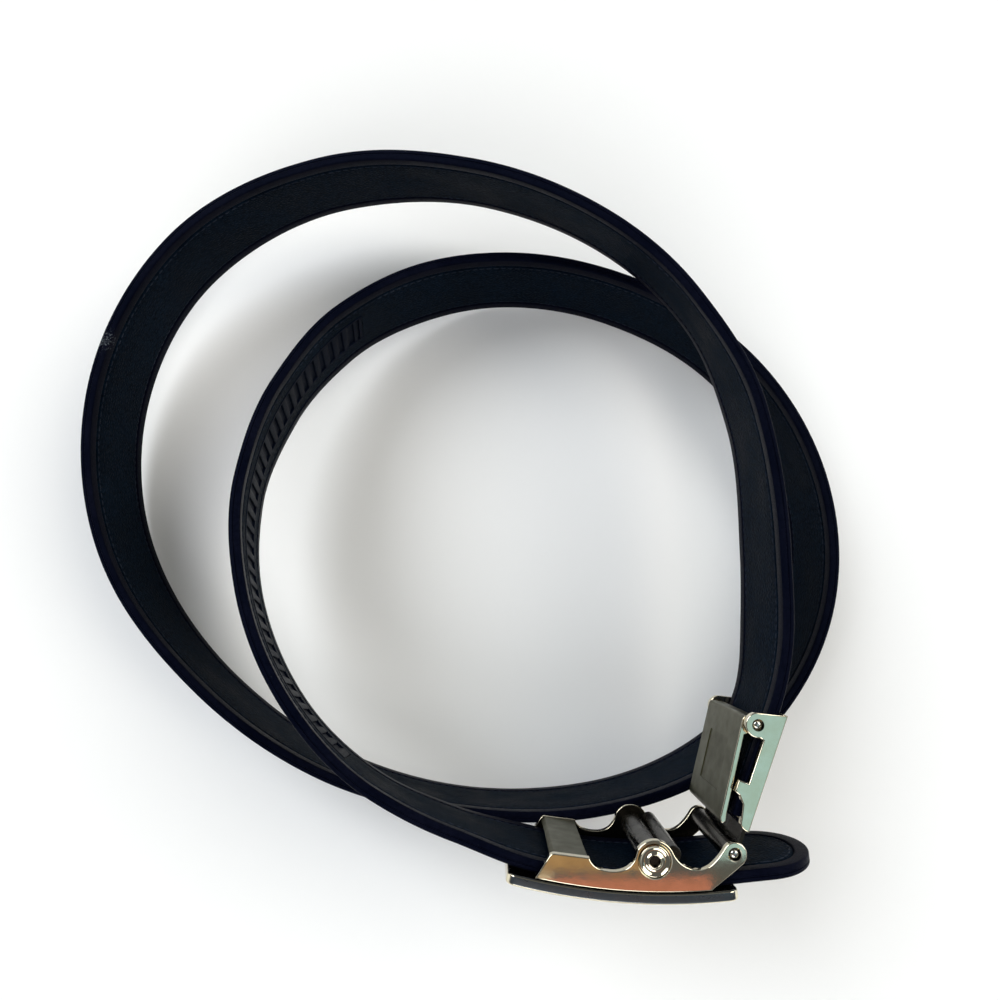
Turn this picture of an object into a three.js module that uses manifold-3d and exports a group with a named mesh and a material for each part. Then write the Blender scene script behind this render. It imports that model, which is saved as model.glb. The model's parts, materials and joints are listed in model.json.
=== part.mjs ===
// Ratchet belt, fastened, and coiled so that it stands on its edge.
// Millimetres, +Z up. The strap's lining faces the middle of the coil, and the strap
// is followed from its clamped end, round the coil, through the buckle to its tip.
import * as THREE from 'three';
import Module from 'manifold-3d';
import { mergeVertices } from 'three/addons/utils/BufferGeometryUtils.js';

const wasm = await Module();
wasm.setup();

// Clearances
const SEAT_GAP = 0.3;
const SIDE_PLAY = 0.5;
const OVERCUT = 1;

// Strap
const STRAP_WIDTH = 35;
const STRAP_THICKNESS = 3.5;
const STRAP_CHAMFER = 0.6;
const BORDER = 4;
const LINING_THICKNESS = 1.2;
const LINING_INSET = 0.1;
const TIP_ROUND = 15;
const TIP_REACH = 25;
const TIP_RELEASE = 4;
const TIP_STEPS = [0.3, 0.55, 0.75, 0.9, 0.97];
const STATION = 9;
const ROUTE_STEP = 2;

// Ratchet track, set into the lining
const TOOTH_COUNT = 35;
const TOOTH_PITCH = 4.65;
const TOOTH_HEIGHT = 0.7;
const TOOTH_CREST = { from: 0.7, to: 0.85 };
const TRACK_WIDTH = 15;
const TRACK_BASE = 0.5;
const TRACK_TO_BUCKLE = 54;

// Buckle plate: a bowed plate whose hollow side faces the strap
const PLATE_LENGTH = 64.5;
const PLATE_THICKNESS = 3.1;
const PLATE_RADIUS = 175;
const PLATE_LEAD = 8.2;
const PLATE_CORNER = 2.5;
const CROWN_DEPTH = 4.9;

// Buckle frame: two scalloped walls and a bridge over the strap
const WALL = 2.2;
const WALL_LENGTH = 48.2;
const EDGE_ROUND = 0.35;
const BRIDGE_LENGTH = 10.6;
const BRIDGE_SETBACK = 3.8;
const BRIDGE_RISE = 3.4;
const BRIDGE_THICKNESS = 1.6;
const BRIDGE_FALL = 0.5;
const BRIDGE_INSET = 0.25;
const WALL_CORNER = 1;
const SCALLOP_RISE = 1.4;
const SCALLOP_TURN = 1.3;
const SADDLE_RISE = 0.3;
const BOSS_BLEND = 0.5;
const HINGE_FOOT = THREE.MathUtils.degToRad(46);
const PAWL_BOSS = 5.6;
const PAWL_ALONG = 32.3;
const PAWL_RISE = 4.75;
const HINGE_BOSS = 3.3;
const HINGE_ALONG = 54.1;
const HINGE_RISE = 8;
const BUCKLE_HEADING = THREE.MathUtils.degToRad(-4.15);

// Pawl and its axle
const AXLE_RADIUS = 1.5;
const AXLE_HEAD = 4.2;
const HEAD_DEPTH = 0.7;
const HEAD_CUP = 1.2;
const HEAD_RIM = 0.5;
const HEAD_DISH = 0.35;
const HEAD_EDGE = 0.2;
const PAWL_HUB = 3.4;
const PAWL_BAR = 2.3;
const PAWL_BAR_RISE = 1.6;
const PAWL_REACH = 5.4;
const NOSE_REACH = 6.9;
const NOSE_WIDTH = 0.7;
const NOSE_HEEL = 2.2;
const FACET_DEPTH = 0.5;
const FACET_WIDTH = 3.5;
const FACET_LENGTH = 25.5;

// Hinge and clamp pins
const PIN_RADIUS = 1.2;
const PIN_DOME = 0.6;
const PIN_HOLE = 1.7;
const KNUCKLE_RADIUS = 2.9;

// Clamp: a shallow channel on the hinge, swung open as the coil holds it
const CLAMP_LENGTH = 40.2;
const CLAMP_SWING = THREE.MathUtils.degToRad(73.05);
const CLAMP_SET = 1.65;
const BASE_THICKNESS = 1;
const CLAMP_WALL_START = 6.8;
const CLAMP_BOSS = 3.5;
const CLAMP_PIN_SETBACK = 5.3;
const STRAP_END = 9.5;
const NOTCH_START = 19.1;
const NOTCH_LENGTH = 12.4;
const NOTCH_DROP = 0.5;
const POST_WIDTH = 3.8;
const POST_RISE = 2.4;
const POST_FOOT = 2;
const SHOULDER_FALL = 1.2;
const SHOULDER_ROUND = 2.4;

// Flap over the strap's clamped end
const EYE_WALL = 0.75;
const EYE_ARC = { from: -0.75 * Math.PI, to: 0.2 * Math.PI };
const FLAP_CROWN = 3.8;
const FLAP_FALL = 2.85;
const FLAP_LIP = 1.1;
const FLAP_CURL = 2.5;
const LIP_THICKNESS = 0.8;
const FLAP_END = 6.2;
const FLAP_THICKNESS = 1.4;
const PANEL_LENGTH = 15;
const PANEL_WIDTH = 19;
const PANEL_DEPTH = 0.3;

// Coil: where the strap's middle runs, as polar places about the coil's centre.
// turn in degrees along the strap, reach as a share of COIL_SPAN, lean in degrees
// with the top edge outward positive.
const COIL_SPAN = 250;
const COIL_ROUTE = [
  { turn: -26, reach: 0.391, lean: 3 },
  { turn: -13, reach: 0.362, lean: 2 },
  { turn: 15, reach: 0.347, lean: -2 },
  { turn: 40, reach: 0.354, lean: -9 },
  { turn: 65, reach: 0.371, lean: -9 },
  { turn: 90, reach: 0.409, lean: -8 },
  { turn: 115, reach: 0.467, lean: -3 },
  { turn: 140, reach: 0.518, lean: 2 },
  { turn: 165, reach: 0.525, lean: 4 },
  { turn: 190, reach: 0.495, lean: 4 },
  { turn: 215, reach: 0.445, lean: 1 },
  { turn: 240, reach: 0.418, lean: 0 },
  { turn: 265, reach: 0.414, lean: -2 },
  { turn: 290, reach: 0.439, lean: 0 },
  { turn: 315, reach: 0.477, lean: 2 },
  { turn: 340, reach: 0.487, lean: 3 },
  { turn: 365, reach: 0.460, lean: 1 },
  { turn: 390, reach: 0.407, lean: 3 },
  { turn: 415, reach: 0.357, lean: 6 },
  { turn: 440, reach: 0.324, lean: 7 },
  { turn: 465, reach: 0.304, lean: 8 },
  { turn: 490, reach: 0.293, lean: 5 },
  { turn: 515, reach: 0.288, lean: 0 },
  { turn: 540, reach: 0.296, lean: -5 },
  { turn: 565, reach: 0.314, lean: -8 },
  { turn: 590, reach: 0.345, lean: -8 },
  { turn: 612, reach: 0.380, lean: -6 },
  { turn: 626, reach: 0.403, lean: -4 },
];
const HINGE_PLACE = { x: 0.282, y: -0.416 };
const FALL = { from: 45, to: 210 };
const RISE = { from: 405, to: 612 };

// Levels and places that follow from the sizes
const INNER_WIDTH = STRAP_WIDTH + 2 * SIDE_PLAY;
const BUCKLE_WIDTH = INNER_WIDTH + 2 * WALL;
const UPPER_LIFT = STRAP_WIDTH + SEAT_GAP + (BUCKLE_WIDTH - STRAP_WIDTH) / 2;
const INSIDE = INNER_WIDTH - 2 * SEAT_GAP;
const PLATE_BACK_RADIUS = PLATE_RADIUS - PLATE_THICKNESS;
const CROWN_ALONG = PLATE_LENGTH / 2 - PLATE_LEAD;
const BOW_CENTRE = PLATE_RADIUS - CROWN_DEPTH;
const SEAT_RADIUS = PLATE_BACK_RADIUS - SEAT_GAP;
const STRAP_RADIUS = SEAT_RADIUS - STRAP_THICKNESS / 2;
const LINING_LEVEL = BOW_CENTRE - SEAT_RADIUS + STRAP_THICKNESS;
const PAWL_AT = new THREE.Vector2(PAWL_ALONG, LINING_LEVEL + PAWL_RISE);
const HINGE_AT = new THREE.Vector2(HINGE_ALONG, LINING_LEVEL + HINGE_RISE);
const CLAMP_STRAP_LOW = BASE_THICKNESS + SEAT_GAP - CLAMP_SET;
const CLAMP_STRAP_TOP = CLAMP_STRAP_LOW + STRAP_THICKNESS;
const EYE_RADIUS = PIN_RADIUS + EYE_WALL;
const CLAMP_PIN_AT = new THREE.Vector2(
  CLAMP_LENGTH - CLAMP_PIN_SETBACK, CLAMP_STRAP_TOP + SEAT_GAP + EYE_RADIUS);
const HINGE_WORLD = new THREE.Vector2(HINGE_PLACE.x, HINGE_PLACE.y).multiplyScalar(COIL_SPAN);
const CLAMP_HEADING = BUCKLE_HEADING + CLAMP_SWING;
const ARC_END = PLATE_LENGTH - PLATE_LEAD - TIP_RELEASE;
const CHORD_SAG = STATION * STATION / (8 * COIL_SPAN * Math.min(...COIL_ROUTE.map((row) => row.reach)));

// Solids

function solidOf(geometry) {
  const bare = geometry.clone();
  bare.deleteAttribute('normal');
  bare.deleteAttribute('uv');
  const merged = mergeVertices(bare, 1e-4);
  return new wasm.Manifold(new wasm.Mesh({
    numProp: 3,
    vertProperties: new Float32Array(merged.attributes.position.array),
    triVerts: new Uint32Array(merged.index.array),
  }));
}

function geometryOf(solid) {
  const mesh = solid.getMesh();
  const geometry = new THREE.BufferGeometry();
  geometry.setAttribute('position', new THREE.BufferAttribute(mesh.vertProperties, 3));
  geometry.setIndex(new THREE.BufferAttribute(mesh.triVerts, 1));
  geometry.computeVertexNormals();
  return geometry;
}

function prism(shape, low, high, round = 0, curveSegments = 6) {
  const geometry = new THREE.ExtrudeGeometry(shape, {
    depth: high - low - 2 * round,
    bevelEnabled: round > 0,
    bevelThickness: round,
    bevelSize: round,
    bevelOffset: -round,
    bevelSegments: 1,
    curveSegments,
  });
  geometry.translate(0, 0, low + round);
  return solidOf(geometry);
}

function rod(at, radius, length, sides = 16) {
  const geometry = new THREE.CylinderGeometry(radius, radius, length, sides);
  geometry.rotateX(Math.PI / 2);
  geometry.translate(at.x, at.y, 0);
  return solidOf(geometry);
}

function box(low, high) {
  const size = new THREE.Vector3().subVectors(high, low);
  const geometry = new THREE.BoxGeometry(size.x, size.y, size.z);
  geometry.translate(low.x + size.x / 2, low.y + size.y / 2, low.z + size.z / 2);
  return solidOf(geometry);
}

function named(name, geometry, color, roughness, metalness) {
  const material = new THREE.MeshStandardMaterial({ color, roughness, metalness });
  const mesh = new THREE.Mesh(geometry, material);
  mesh.name = name;
  return mesh;
}

const leather = (name, geometry) => named(name, geometry, 0x14151f, 0.55, 0);
const gold = (name, geometry) => named(name, geometry, 0xc9b98a, 0.18, 1);
const steel = (name, geometry) => named(name, geometry, 0x4a4d4e, 0.4, 1);

// Route

// A smooth curve through the points, with its direction given at both ends.
function smoothCurve(points, startSlope, endSlope, perSpan = 16, passes = 60) {
  const knots = [0];
  points.slice(1).forEach((point, i) => knots.push(knots[i] + point.distanceTo(points[i])));
  const last = points.length - 1;
  const slopes = points.map((point, i) => {
    const before = points[Math.max(i - 1, 0)];
    const after = points[Math.min(i + 1, last)];
    return after.clone().sub(before).normalize();
  });
  slopes[0].copy(startSlope);
  slopes[last].copy(endSlope);
  // Relaxed until the bend is the same on both sides of every inner point.
  for (let pass = 0; pass < passes; pass += 1) {
    for (let i = 1; i < last; i += 1) {
      const a = knots[i] - knots[i - 1];
      const b = knots[i + 1] - knots[i];
      const pull = points[i].clone().sub(points[i - 1]).multiplyScalar(3 * b / a)
        .add(points[i + 1].clone().sub(points[i]).multiplyScalar(3 * a / b));
      pull.addScaledVector(slopes[i - 1], -b).addScaledVector(slopes[i + 1], -a);
      slopes[i].copy(pull).divideScalar(2 * (a + b));
    }
  }
  const curve = [];
  for (let i = 0; i < last; i += 1) {
    const length = knots[i + 1] - knots[i];
    for (let k = 0; k < perSpan; k += 1) {
      const t = k / perSpan;
      const rest = 1 - t;
      curve.push(points[i].clone().multiplyScalar((1 + 2 * t) * rest * rest)
        .addScaledVector(slopes[i], length * t * rest * rest)
        .addScaledVector(points[i + 1], t * t * (3 - 2 * t))
        .addScaledVector(slopes[i + 1], -length * t * t * rest));
    }
  }
  return curve;
}

function evenly(from, to, step) {
  const count = Math.max(1, Math.round((to - from) / step));
  return Array.from({ length: count + 1 }, (_, i) => from + (to - from) * i / count);
}

function ease(value, range) {
  return THREE.MathUtils.smoothstep(value, range.from, range.to);
}

function inBuckle(along, height) {
  return new THREE.Vector2(along, height).sub(HINGE_AT)
    .rotateAround(new THREE.Vector2(), BUCKLE_HEADING).add(HINGE_WORLD);
}

function inClamp(along, height) {
  return new THREE.Vector2(along, height)
    .rotateAround(new THREE.Vector2(), CLAMP_HEADING).add(HINGE_WORLD);
}

// The strap's middle inside the buckle, on an arc laid against the bowed plate.
function onPlate(along, radius = STRAP_RADIUS) {
  const offset = along - CROWN_ALONG;
  return BOW_CENTRE - Math.sqrt(radius * radius - offset * offset);
}

function planRoute() {
  const clampMiddle = CLAMP_STRAP_LOW + STRAP_THICKNESS / 2;
  const clamped = [inClamp(STRAP_END, clampMiddle), inClamp(CLAMP_LENGTH, clampMiddle)];
  const coil = COIL_ROUTE.map(({ turn, reach }) => {
    const angle = THREE.MathUtils.degToRad(turn);
    return new THREE.Vector2(Math.cos(angle), Math.sin(angle)).multiplyScalar(reach * COIL_SPAN);
  });
  const meet = BRIDGE_SETBACK + 2 * BRIDGE_LENGTH;
  const arcSlope = Math.asin((meet - CROWN_ALONG) / STRAP_RADIUS) + BUCKLE_HEADING;
  const loops = smoothCurve(
    [clamped[1], ...coil, inBuckle(meet, onPlate(meet))],
    new THREE.Vector2(Math.cos(CLAMP_HEADING), Math.sin(CLAMP_HEADING)),
    new THREE.Vector2(Math.cos(arcSlope), Math.sin(arcSlope)),
  );
  const tip = inBuckle(ARC_END, onPlate(ARC_END));
  const tipSlope = Math.asin((ARC_END - CROWN_ALONG) / STRAP_RADIUS) + BUCKLE_HEADING;
  const past = PLATE_LENGTH - PLATE_LEAD + TIP_REACH - ARC_END;
  const through = [
    ...evenly(meet, ARC_END, ROUTE_STEP).map((along) => inBuckle(along, onPlate(along))),
    ...evenly(ROUTE_STEP, past, ROUTE_STEP).map((along) => new THREE.Vector2(
      tip.x + along * Math.cos(tipSlope), tip.y + along * Math.sin(tipSlope))),
  ];
  return [clamped[0], ...loops, ...through];
}

function turnsOf(points) {
  let turn = 0;
  let previous = null;
  return points.map((point) => {
    const angle = THREE.MathUtils.radToDeg(Math.atan2(point.y, point.x));
    const step = previous === null ? angle : angle - previous;
    turn += THREE.MathUtils.euclideanModulo(step + 180, 360) - 180;
    previous = angle;
    return turn;
  });
}

// The strap stands upright in the clamp and in the buckle, and leans between them.
const MOUTH_TURN = turnsOf([inClamp(CLAMP_LENGTH, 0)])[0];
const ENTRY_TURN = turnsOf([inBuckle(0, 0)])[0] + 720;
const LEAN_ROWS = [{ turn: MOUTH_TURN, lean: 0 }, ...COIL_ROUTE, { turn: ENTRY_TURN, lean: 0 }];

function leanAt(turn) {
  const next = LEAN_ROWS.findIndex((row) => row.turn > turn);
  if (next <= 0) return 0;
  const [a, b] = [LEAN_ROWS[next - 1], LEAN_ROWS[next]];
  return THREE.MathUtils.lerp(a.lean, b.lean, ease(turn, { from: a.turn, to: b.turn }));
}

// Even stations along the route, each with its place and its two section directions:
// across (outward, through the thickness) and up (over the width).
function layStations() {
  const points = planRoute();
  const turns = turnsOf(points);
  const lengths = [0];
  points.slice(1).forEach((point, i) => lengths.push(lengths[i] + point.distanceTo(points[i])));
  const total = lengths.at(-1);
  const at = (along) => {
    const found = lengths.findIndex((length) => length >= along);
    const next = found < 0 ? lengths.length - 1 : Math.max(1, found);
    const t = (along - lengths[next - 1]) / (lengths[next] - lengths[next - 1]);
    const plan = points[next - 1].clone().lerp(points[next], t);
    const turn = THREE.MathUtils.lerp(turns[next - 1], turns[next], t);
    const lift = UPPER_LIFT * (1 - ease(turn, FALL) + ease(turn, RISE));
    return { place: new THREE.Vector3(plan.x, plan.y, lift), lean: leanAt(turn) };
  };
  const station = (along) => {
    const here = at(along);
    const forward = at(along + ROUTE_STEP / 2).place.sub(at(along - ROUTE_STEP / 2).place).normalize();
    const vertical = new THREE.Vector3(0, 0, 1);
    const across = new THREE.Vector3().crossVectors(forward, vertical).normalize();
    const up = new THREE.Vector3().crossVectors(across, forward);
    const lean = THREE.MathUtils.degToRad(here.lean);
    const leanUp = up.clone().multiplyScalar(Math.cos(lean)).addScaledVector(across, Math.sin(lean));
    across.multiplyScalar(Math.cos(lean)).addScaledVector(up, -Math.sin(lean));
    here.place.z += STRAP_WIDTH / 2 * leanUp.z + STRAP_THICKNESS / 2 * Math.abs(across.z);
    return { place: here.place, across, up: leanUp };
  };
  return { total, station };
}

const route = layStations();

// A closed body swept along the route. sectionAt gives the section at a distance
// along the strap, as [across, up] pairs that turn counter-clockwise.
function sweep(distances, sectionAt) {
  const rings = distances.map((along) => {
    const { place, across, up } = route.station(along);
    return sectionAt(along)
      .map(([x, y]) => place.clone().addScaledVector(across, x).addScaledVector(up, y));
  });
  const count = rings[0].length;
  const triangles = [];
  rings.slice(1).forEach((_, i) => {
    for (let k = 0; k < count; k += 1) {
      const a = i * count + k;
      const b = i * count + (k + 1) % count;
      triangles.push(a, a + count, b + count, a, b + count, b);
    }
  });
  const outline = sectionAt(distances[0]).map(([x, y]) => new THREE.Vector2(x, y));
  const cap = THREE.ShapeUtils.triangulateShape(outline, []);
  const top = (rings.length - 1) * count;
  cap.forEach(([a, b, c]) => triangles.push(a, b, c, top + a, top + c, top + b));
  const corners = rings.flat().flatMap((corner) => corner.toArray());
  const geometry = new THREE.BufferGeometry();
  geometry.setAttribute('position', new THREE.Float32BufferAttribute(corners, 3));
  geometry.setIndex(triangles);
  return geometry;
}

// Distances that run evenly, then closer and closer round the tip.
function towardsTip(from, end, round) {
  const arc = TIP_STEPS.map((share) => end - round + round * share);
  return [...evenly(from, end - round, STATION), ...arc];
}

function halfWidth(along, end, round, half) {
  const past = Math.max(0, (along - (end - round)) / round);
  return half * Math.sqrt(1 - past * past);
}

// Strap pieces

const POCKET_DEPTH = LINING_THICKNESS + LINING_INSET + SEAT_GAP;
const TRACK_END = route.total - TIP_REACH - PLATE_LENGTH - TRACK_TO_BUCKLE;
const TRACK_START = TRACK_END - TOOTH_COUNT * TOOTH_PITCH;

function strapLeather() {
  const half = STRAP_THICKNESS / 2;
  const body = sweep(towardsTip(0, route.total, TIP_ROUND), (along) => {
    const w = halfWidth(along, route.total, TIP_ROUND, STRAP_WIDTH / 2);
    const c = STRAP_CHAMFER;
    return [[half, c - w], [half, w - c], [half - c, w], [c - half, w],
      [-half, w - c], [-half, c - w], [c - half, -w], [half - c, -w]];
  });
  const end = route.total - BORDER;
  const round = TIP_ROUND - BORDER;
  const pocket = sweep([-OVERCUT, ...towardsTip(0, end, round).slice(1)], (along) => {
    const w = halfWidth(along, end, round, STRAP_WIDTH / 2 - BORDER);
    return [[POCKET_DEPTH - half, -w], [POCKET_DEPTH - half, w],
      [-half - OVERCUT, w], [-half - OVERCUT, -w]];
  });
  return leather('strap_leather', geometryOf(solidOf(body).subtract(solidOf(pocket))));
}

function slab(distances, low, high, widthAt) {
  return sweep(distances, (along) => {
    const w = widthAt(along);
    return [[high, -w], [high, w], [low, w], [low, -w]];
  });
}

function strapLining() {
  const end = route.total - BORDER - SEAT_GAP;
  const round = TIP_ROUND - BORDER - SEAT_GAP;
  const face = LINING_INSET - STRAP_THICKNESS / 2;
  const wide = STRAP_WIDTH / 2 - BORDER - SEAT_GAP;
  const body = solidOf(slab(towardsTip(0, end, round), face, face + LINING_THICKNESS,
    (along) => halfWidth(along, end, round, wide)));
  const slotEnds = evenly(TRACK_START - SEAT_GAP, TRACK_END + SEAT_GAP, STATION);
  const slot = slab(slotEnds, face - OVERCUT, face + LINING_THICKNESS + OVERCUT,
    () => TRACK_WIDTH / 2 + SEAT_GAP);
  return leather('strap_lining', geometryOf(body.subtract(solidOf(slot))));
}

// Teeth that rise slowly and fall steeply, so that the strap only slides one way.
function ratchetTrack() {
  const floor = POCKET_DEPTH - SEAT_GAP - CHORD_SAG - STRAP_THICKNESS / 2;
  const shape = Array.from({ length: TOOTH_COUNT }, (_, i) => {
    const start = TRACK_START + i * TOOTH_PITCH;
    return [[start, TRACK_BASE],
      [start + TOOTH_PITCH * TOOTH_CREST.from, TRACK_BASE + TOOTH_HEIGHT],
      [start + TOOTH_PITCH * TOOTH_CREST.to, TRACK_BASE + TOOTH_HEIGHT]];
  }).flat();
  shape.push([TRACK_END, TRACK_BASE]);
  const heights = new Map(shape);
  const geometry = sweep([...heights.keys()], (along) => [
    [floor, -TRACK_WIDTH / 2], [floor, TRACK_WIDTH / 2],
    [floor - heights.get(along), TRACK_WIDTH / 2], [floor - heights.get(along), -TRACK_WIDTH / 2]]);
  return leather('ratchet_track', geometryOf(solidOf(geometry)));
}

// Buckle pieces, with x along the plate, y towards the coil's middle and z along the width

function bowedPlate() {
  const half = PLATE_LENGTH / 2;
  const shape = new THREE.Shape();
  const outer = Math.asin((half - SEAT_GAP) / PLATE_RADIUS);
  const inner = Math.asin(half / PLATE_BACK_RADIUS);
  const down = -Math.PI / 2;
  shape.absarc(CROWN_ALONG, BOW_CENTRE, PLATE_RADIUS, down - outer, down + outer, false);
  shape.absarc(CROWN_ALONG, BOW_CENTRE, PLATE_BACK_RADIUS, down + inner, down - inner, true);
  shape.closePath();
  const bowed = prism(shape, -BUCKLE_WIDTH / 2, BUCKLE_WIDTH / 2, 0, 10);
  const low = CROWN_ALONG - half;
  const z = BUCKLE_WIDTH / 2;
  const r = PLATE_CORNER;
  const face = new THREE.Shape();
  face.absarc(low + r, r - z, r, Math.PI, 1.5 * Math.PI, false);
  face.absarc(low + 2 * half - r, r - z, r, 1.5 * Math.PI, 2 * Math.PI, false);
  face.absarc(low + 2 * half - r, z - r, r, 0, 0.5 * Math.PI, false);
  face.absarc(low + r, z - r, r, 0.5 * Math.PI, Math.PI, false);
  const depth = 4 * CROWN_DEPTH;
  const trim = new THREE.ExtrudeGeometry(face, { depth, bevelEnabled: false, curveSegments: 2 });
  trim.translate(0, 0, -depth / 2);
  trim.rotateX(-Math.PI / 2);
  return gold('buckle_plate', geometryOf(bowed.intersect(solidOf(trim))));
}

function onArc(centre, radius, angle) {
  return [centre.x + radius * Math.cos(angle), centre.y + radius * Math.sin(angle)];
}

function frameWall() {
  const bridgeTop = LINING_LEVEL + BRIDGE_RISE + BRIDGE_THICKNESS;
  const bridgeEnd = BRIDGE_SETBACK + BRIDGE_LENGTH;
  const dip = LINING_LEVEL + SCALLOP_RISE;
  const pawlSide = PAWL_ALONG - PAWL_BOSS;
  const hingeSide = HINGE_ALONG - HINGE_BOSS;
  const blend = Math.PI - BOSS_BLEND;
  const saddle = new THREE.Vector2(
    (PAWL_ALONG + PAWL_BOSS + hingeSide) / 2, (PAWL_AT.y + dip) / 2 + SADDLE_RISE);
  const shape = new THREE.Shape();
  shape.moveTo(0, onPlate(0, SEAT_RADIUS));
  shape.lineTo(BRIDGE_SETBACK - WALL_CORNER / 2, bridgeTop - WALL_CORNER);
  shape.quadraticCurveTo(BRIDGE_SETBACK, bridgeTop, BRIDGE_SETBACK + WALL_CORNER, bridgeTop);
  shape.lineTo(bridgeEnd, bridgeTop - BRIDGE_FALL);
  shape.quadraticCurveTo(bridgeEnd + SCALLOP_TURN, dip, (bridgeEnd + pawlSide) / 2, dip);
  shape.quadraticCurveTo(pawlSide, dip, ...onArc(PAWL_AT, PAWL_BOSS, blend));
  shape.absarc(PAWL_AT.x, PAWL_AT.y, PAWL_BOSS, blend, BOSS_BLEND, true);
  shape.quadraticCurveTo(saddle.x - SCALLOP_TURN, saddle.y, saddle.x, saddle.y);
  shape.quadraticCurveTo(hingeSide - SCALLOP_TURN, saddle.y, ...onArc(HINGE_AT, HINGE_BOSS, blend));
  shape.absarc(HINGE_AT.x, HINGE_AT.y, HINGE_BOSS, blend, -HINGE_FOOT, true);
  shape.lineTo(WALL_LENGTH, onPlate(WALL_LENGTH, SEAT_RADIUS));
  const seatAngle = (along) => Math.asin((along - CROWN_ALONG) / SEAT_RADIUS) - Math.PI / 2;
  shape.absarc(CROWN_ALONG, BOW_CENTRE, SEAT_RADIUS, seatAngle(WALL_LENGTH), seatAngle(0), true);
  return shape;
}

function bridgeSection() {
  const top = LINING_LEVEL + BRIDGE_RISE + BRIDGE_THICKNESS - BRIDGE_INSET;
  const under = LINING_LEVEL + BRIDGE_RISE;
  const end = BRIDGE_SETBACK + BRIDGE_LENGTH - BRIDGE_INSET;
  return new THREE.Shape([
    new THREE.Vector2(BRIDGE_SETBACK, under),
    new THREE.Vector2(end, under - BRIDGE_FALL),
    new THREE.Vector2(end, top - BRIDGE_FALL),
    new THREE.Vector2(BRIDGE_SETBACK + WALL_CORNER, top),
    new THREE.Vector2(BRIDGE_SETBACK, top - WALL_CORNER),
  ]);
}

function buckleFrame() {
  const inner = INNER_WIDTH / 2;
  const outer = BUCKLE_WIDTH / 2;
  const walls = [-outer, inner].map((low) => prism(frameWall(), low, low + WALL, EDGE_ROUND, 5));
  const bridge = prism(bridgeSection(), -inner - WALL / 2, inner + WALL / 2);
  let frame = walls[0].add(walls[1]).add(bridge);
  frame = frame.subtract(rod(HINGE_AT, PIN_HOLE, BUCKLE_WIDTH + OVERCUT));
  frame = frame.subtract(rod(PAWL_AT, AXLE_RADIUS + SEAT_GAP, BUCKLE_WIDTH + OVERCUT));
  const sinkDepth = HEAD_DEPTH + SEAT_GAP + OVERCUT;
  const sink = rod(PAWL_AT, AXLE_HEAD + SEAT_GAP, sinkDepth, 20);
  const shift = outer + OVERCUT - sinkDepth / 2;
  [-shift, shift].forEach((z) => { frame = frame.subtract(sink.translate([0, 0, z])); });
  return gold('buckle_frame', geometryOf(frame));
}

// A turned pin on the z axis, from its lower profile mirrored to the other end.
function turnedPin(name, at, profile, sides, make) {
  const lower = profile.map(([radius, z]) => new THREE.Vector2(radius, z));
  const upper = profile.map(([radius, z]) => new THREE.Vector2(radius, -z)).reverse();
  const geometry = new THREE.LatheGeometry([...lower, ...upper], sides);
  geometry.rotateX(Math.PI / 2);
  geometry.translate(at.x, at.y, 0);
  return make(name, geometryOf(solidOf(geometry)));
}

function pawlAxle() {
  const end = -BUCKLE_WIDTH / 2;
  return turnedPin('pawl_axle', PAWL_AT, [
    [0, end + HEAD_CUP],
    [AXLE_RADIUS - 2 * HEAD_EDGE, end + HEAD_CUP],
    [AXLE_RADIUS, end],
    [AXLE_RADIUS + HEAD_RIM, end],
    [(AXLE_RADIUS + AXLE_HEAD) / 2, end + HEAD_DISH],
    [AXLE_HEAD - HEAD_RIM, end],
    [AXLE_HEAD, end + HEAD_EDGE],
    [AXLE_HEAD, end + HEAD_DEPTH],
    [AXLE_RADIUS, end + HEAD_DEPTH],
  ], 20, gold);
}

function plainPin(name, at) {
  const end = SIDE_PLAY - BUCKLE_WIDTH / 2;
  const profile = [[0, end], [0.6 * PIN_RADIUS, end + 0.2 * PIN_DOME], [PIN_RADIUS, end + PIN_DOME]];
  return turnedPin(name, at, profile, 14, steel);
}

// The hub sits on the axle; the bar beside it carries the nose, which stops above the strap.
function pawl() {
  const floor = onPlate(PAWL_ALONG + NOSE_REACH) + STRAP_THICKNESS / 2 + SEAT_GAP - PAWL_AT.y;
  const half = INSIDE / 2;
  const shape = new THREE.Shape();
  shape.absarc(0, 0, PAWL_HUB, 0.6 * Math.PI, 1.65 * Math.PI, false);
  shape.lineTo(NOSE_REACH - NOSE_WIDTH - 0.8 * NOSE_HEEL, floor + NOSE_HEEL);
  shape.lineTo(NOSE_REACH - NOSE_WIDTH, floor);
  shape.lineTo(NOSE_REACH, floor + 0.2 * NOSE_WIDTH);
  shape.absarc(PAWL_REACH, PAWL_BAR_RISE, PAWL_BAR, -0.2 * Math.PI, 0.62 * Math.PI, false);
  shape.lineTo(0.6 * PAWL_HUB, 0.8 * PAWL_HUB);
  const hole = rod(new THREE.Vector2(), AXLE_RADIUS + SEAT_GAP, INSIDE + OVERCUT);
  const facet = box(
    new THREE.Vector3(-PAWL_HUB - OVERCUT, -FACET_DEPTH, -FACET_LENGTH / 2),
    new THREE.Vector3(-PAWL_HUB + FACET_DEPTH, FACET_WIDTH - FACET_DEPTH, FACET_LENGTH / 2));
  const body = prism(shape, -half, half, 0, 5).subtract(hole).subtract(facet);
  const mesh = steel('pawl', geometryOf(body));
  mesh.position.set(PAWL_AT.x, PAWL_AT.y, 0);
  return mesh;
}

// Clamp pieces, with x from the hinge towards the clamp's mouth and y towards the flap

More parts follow.
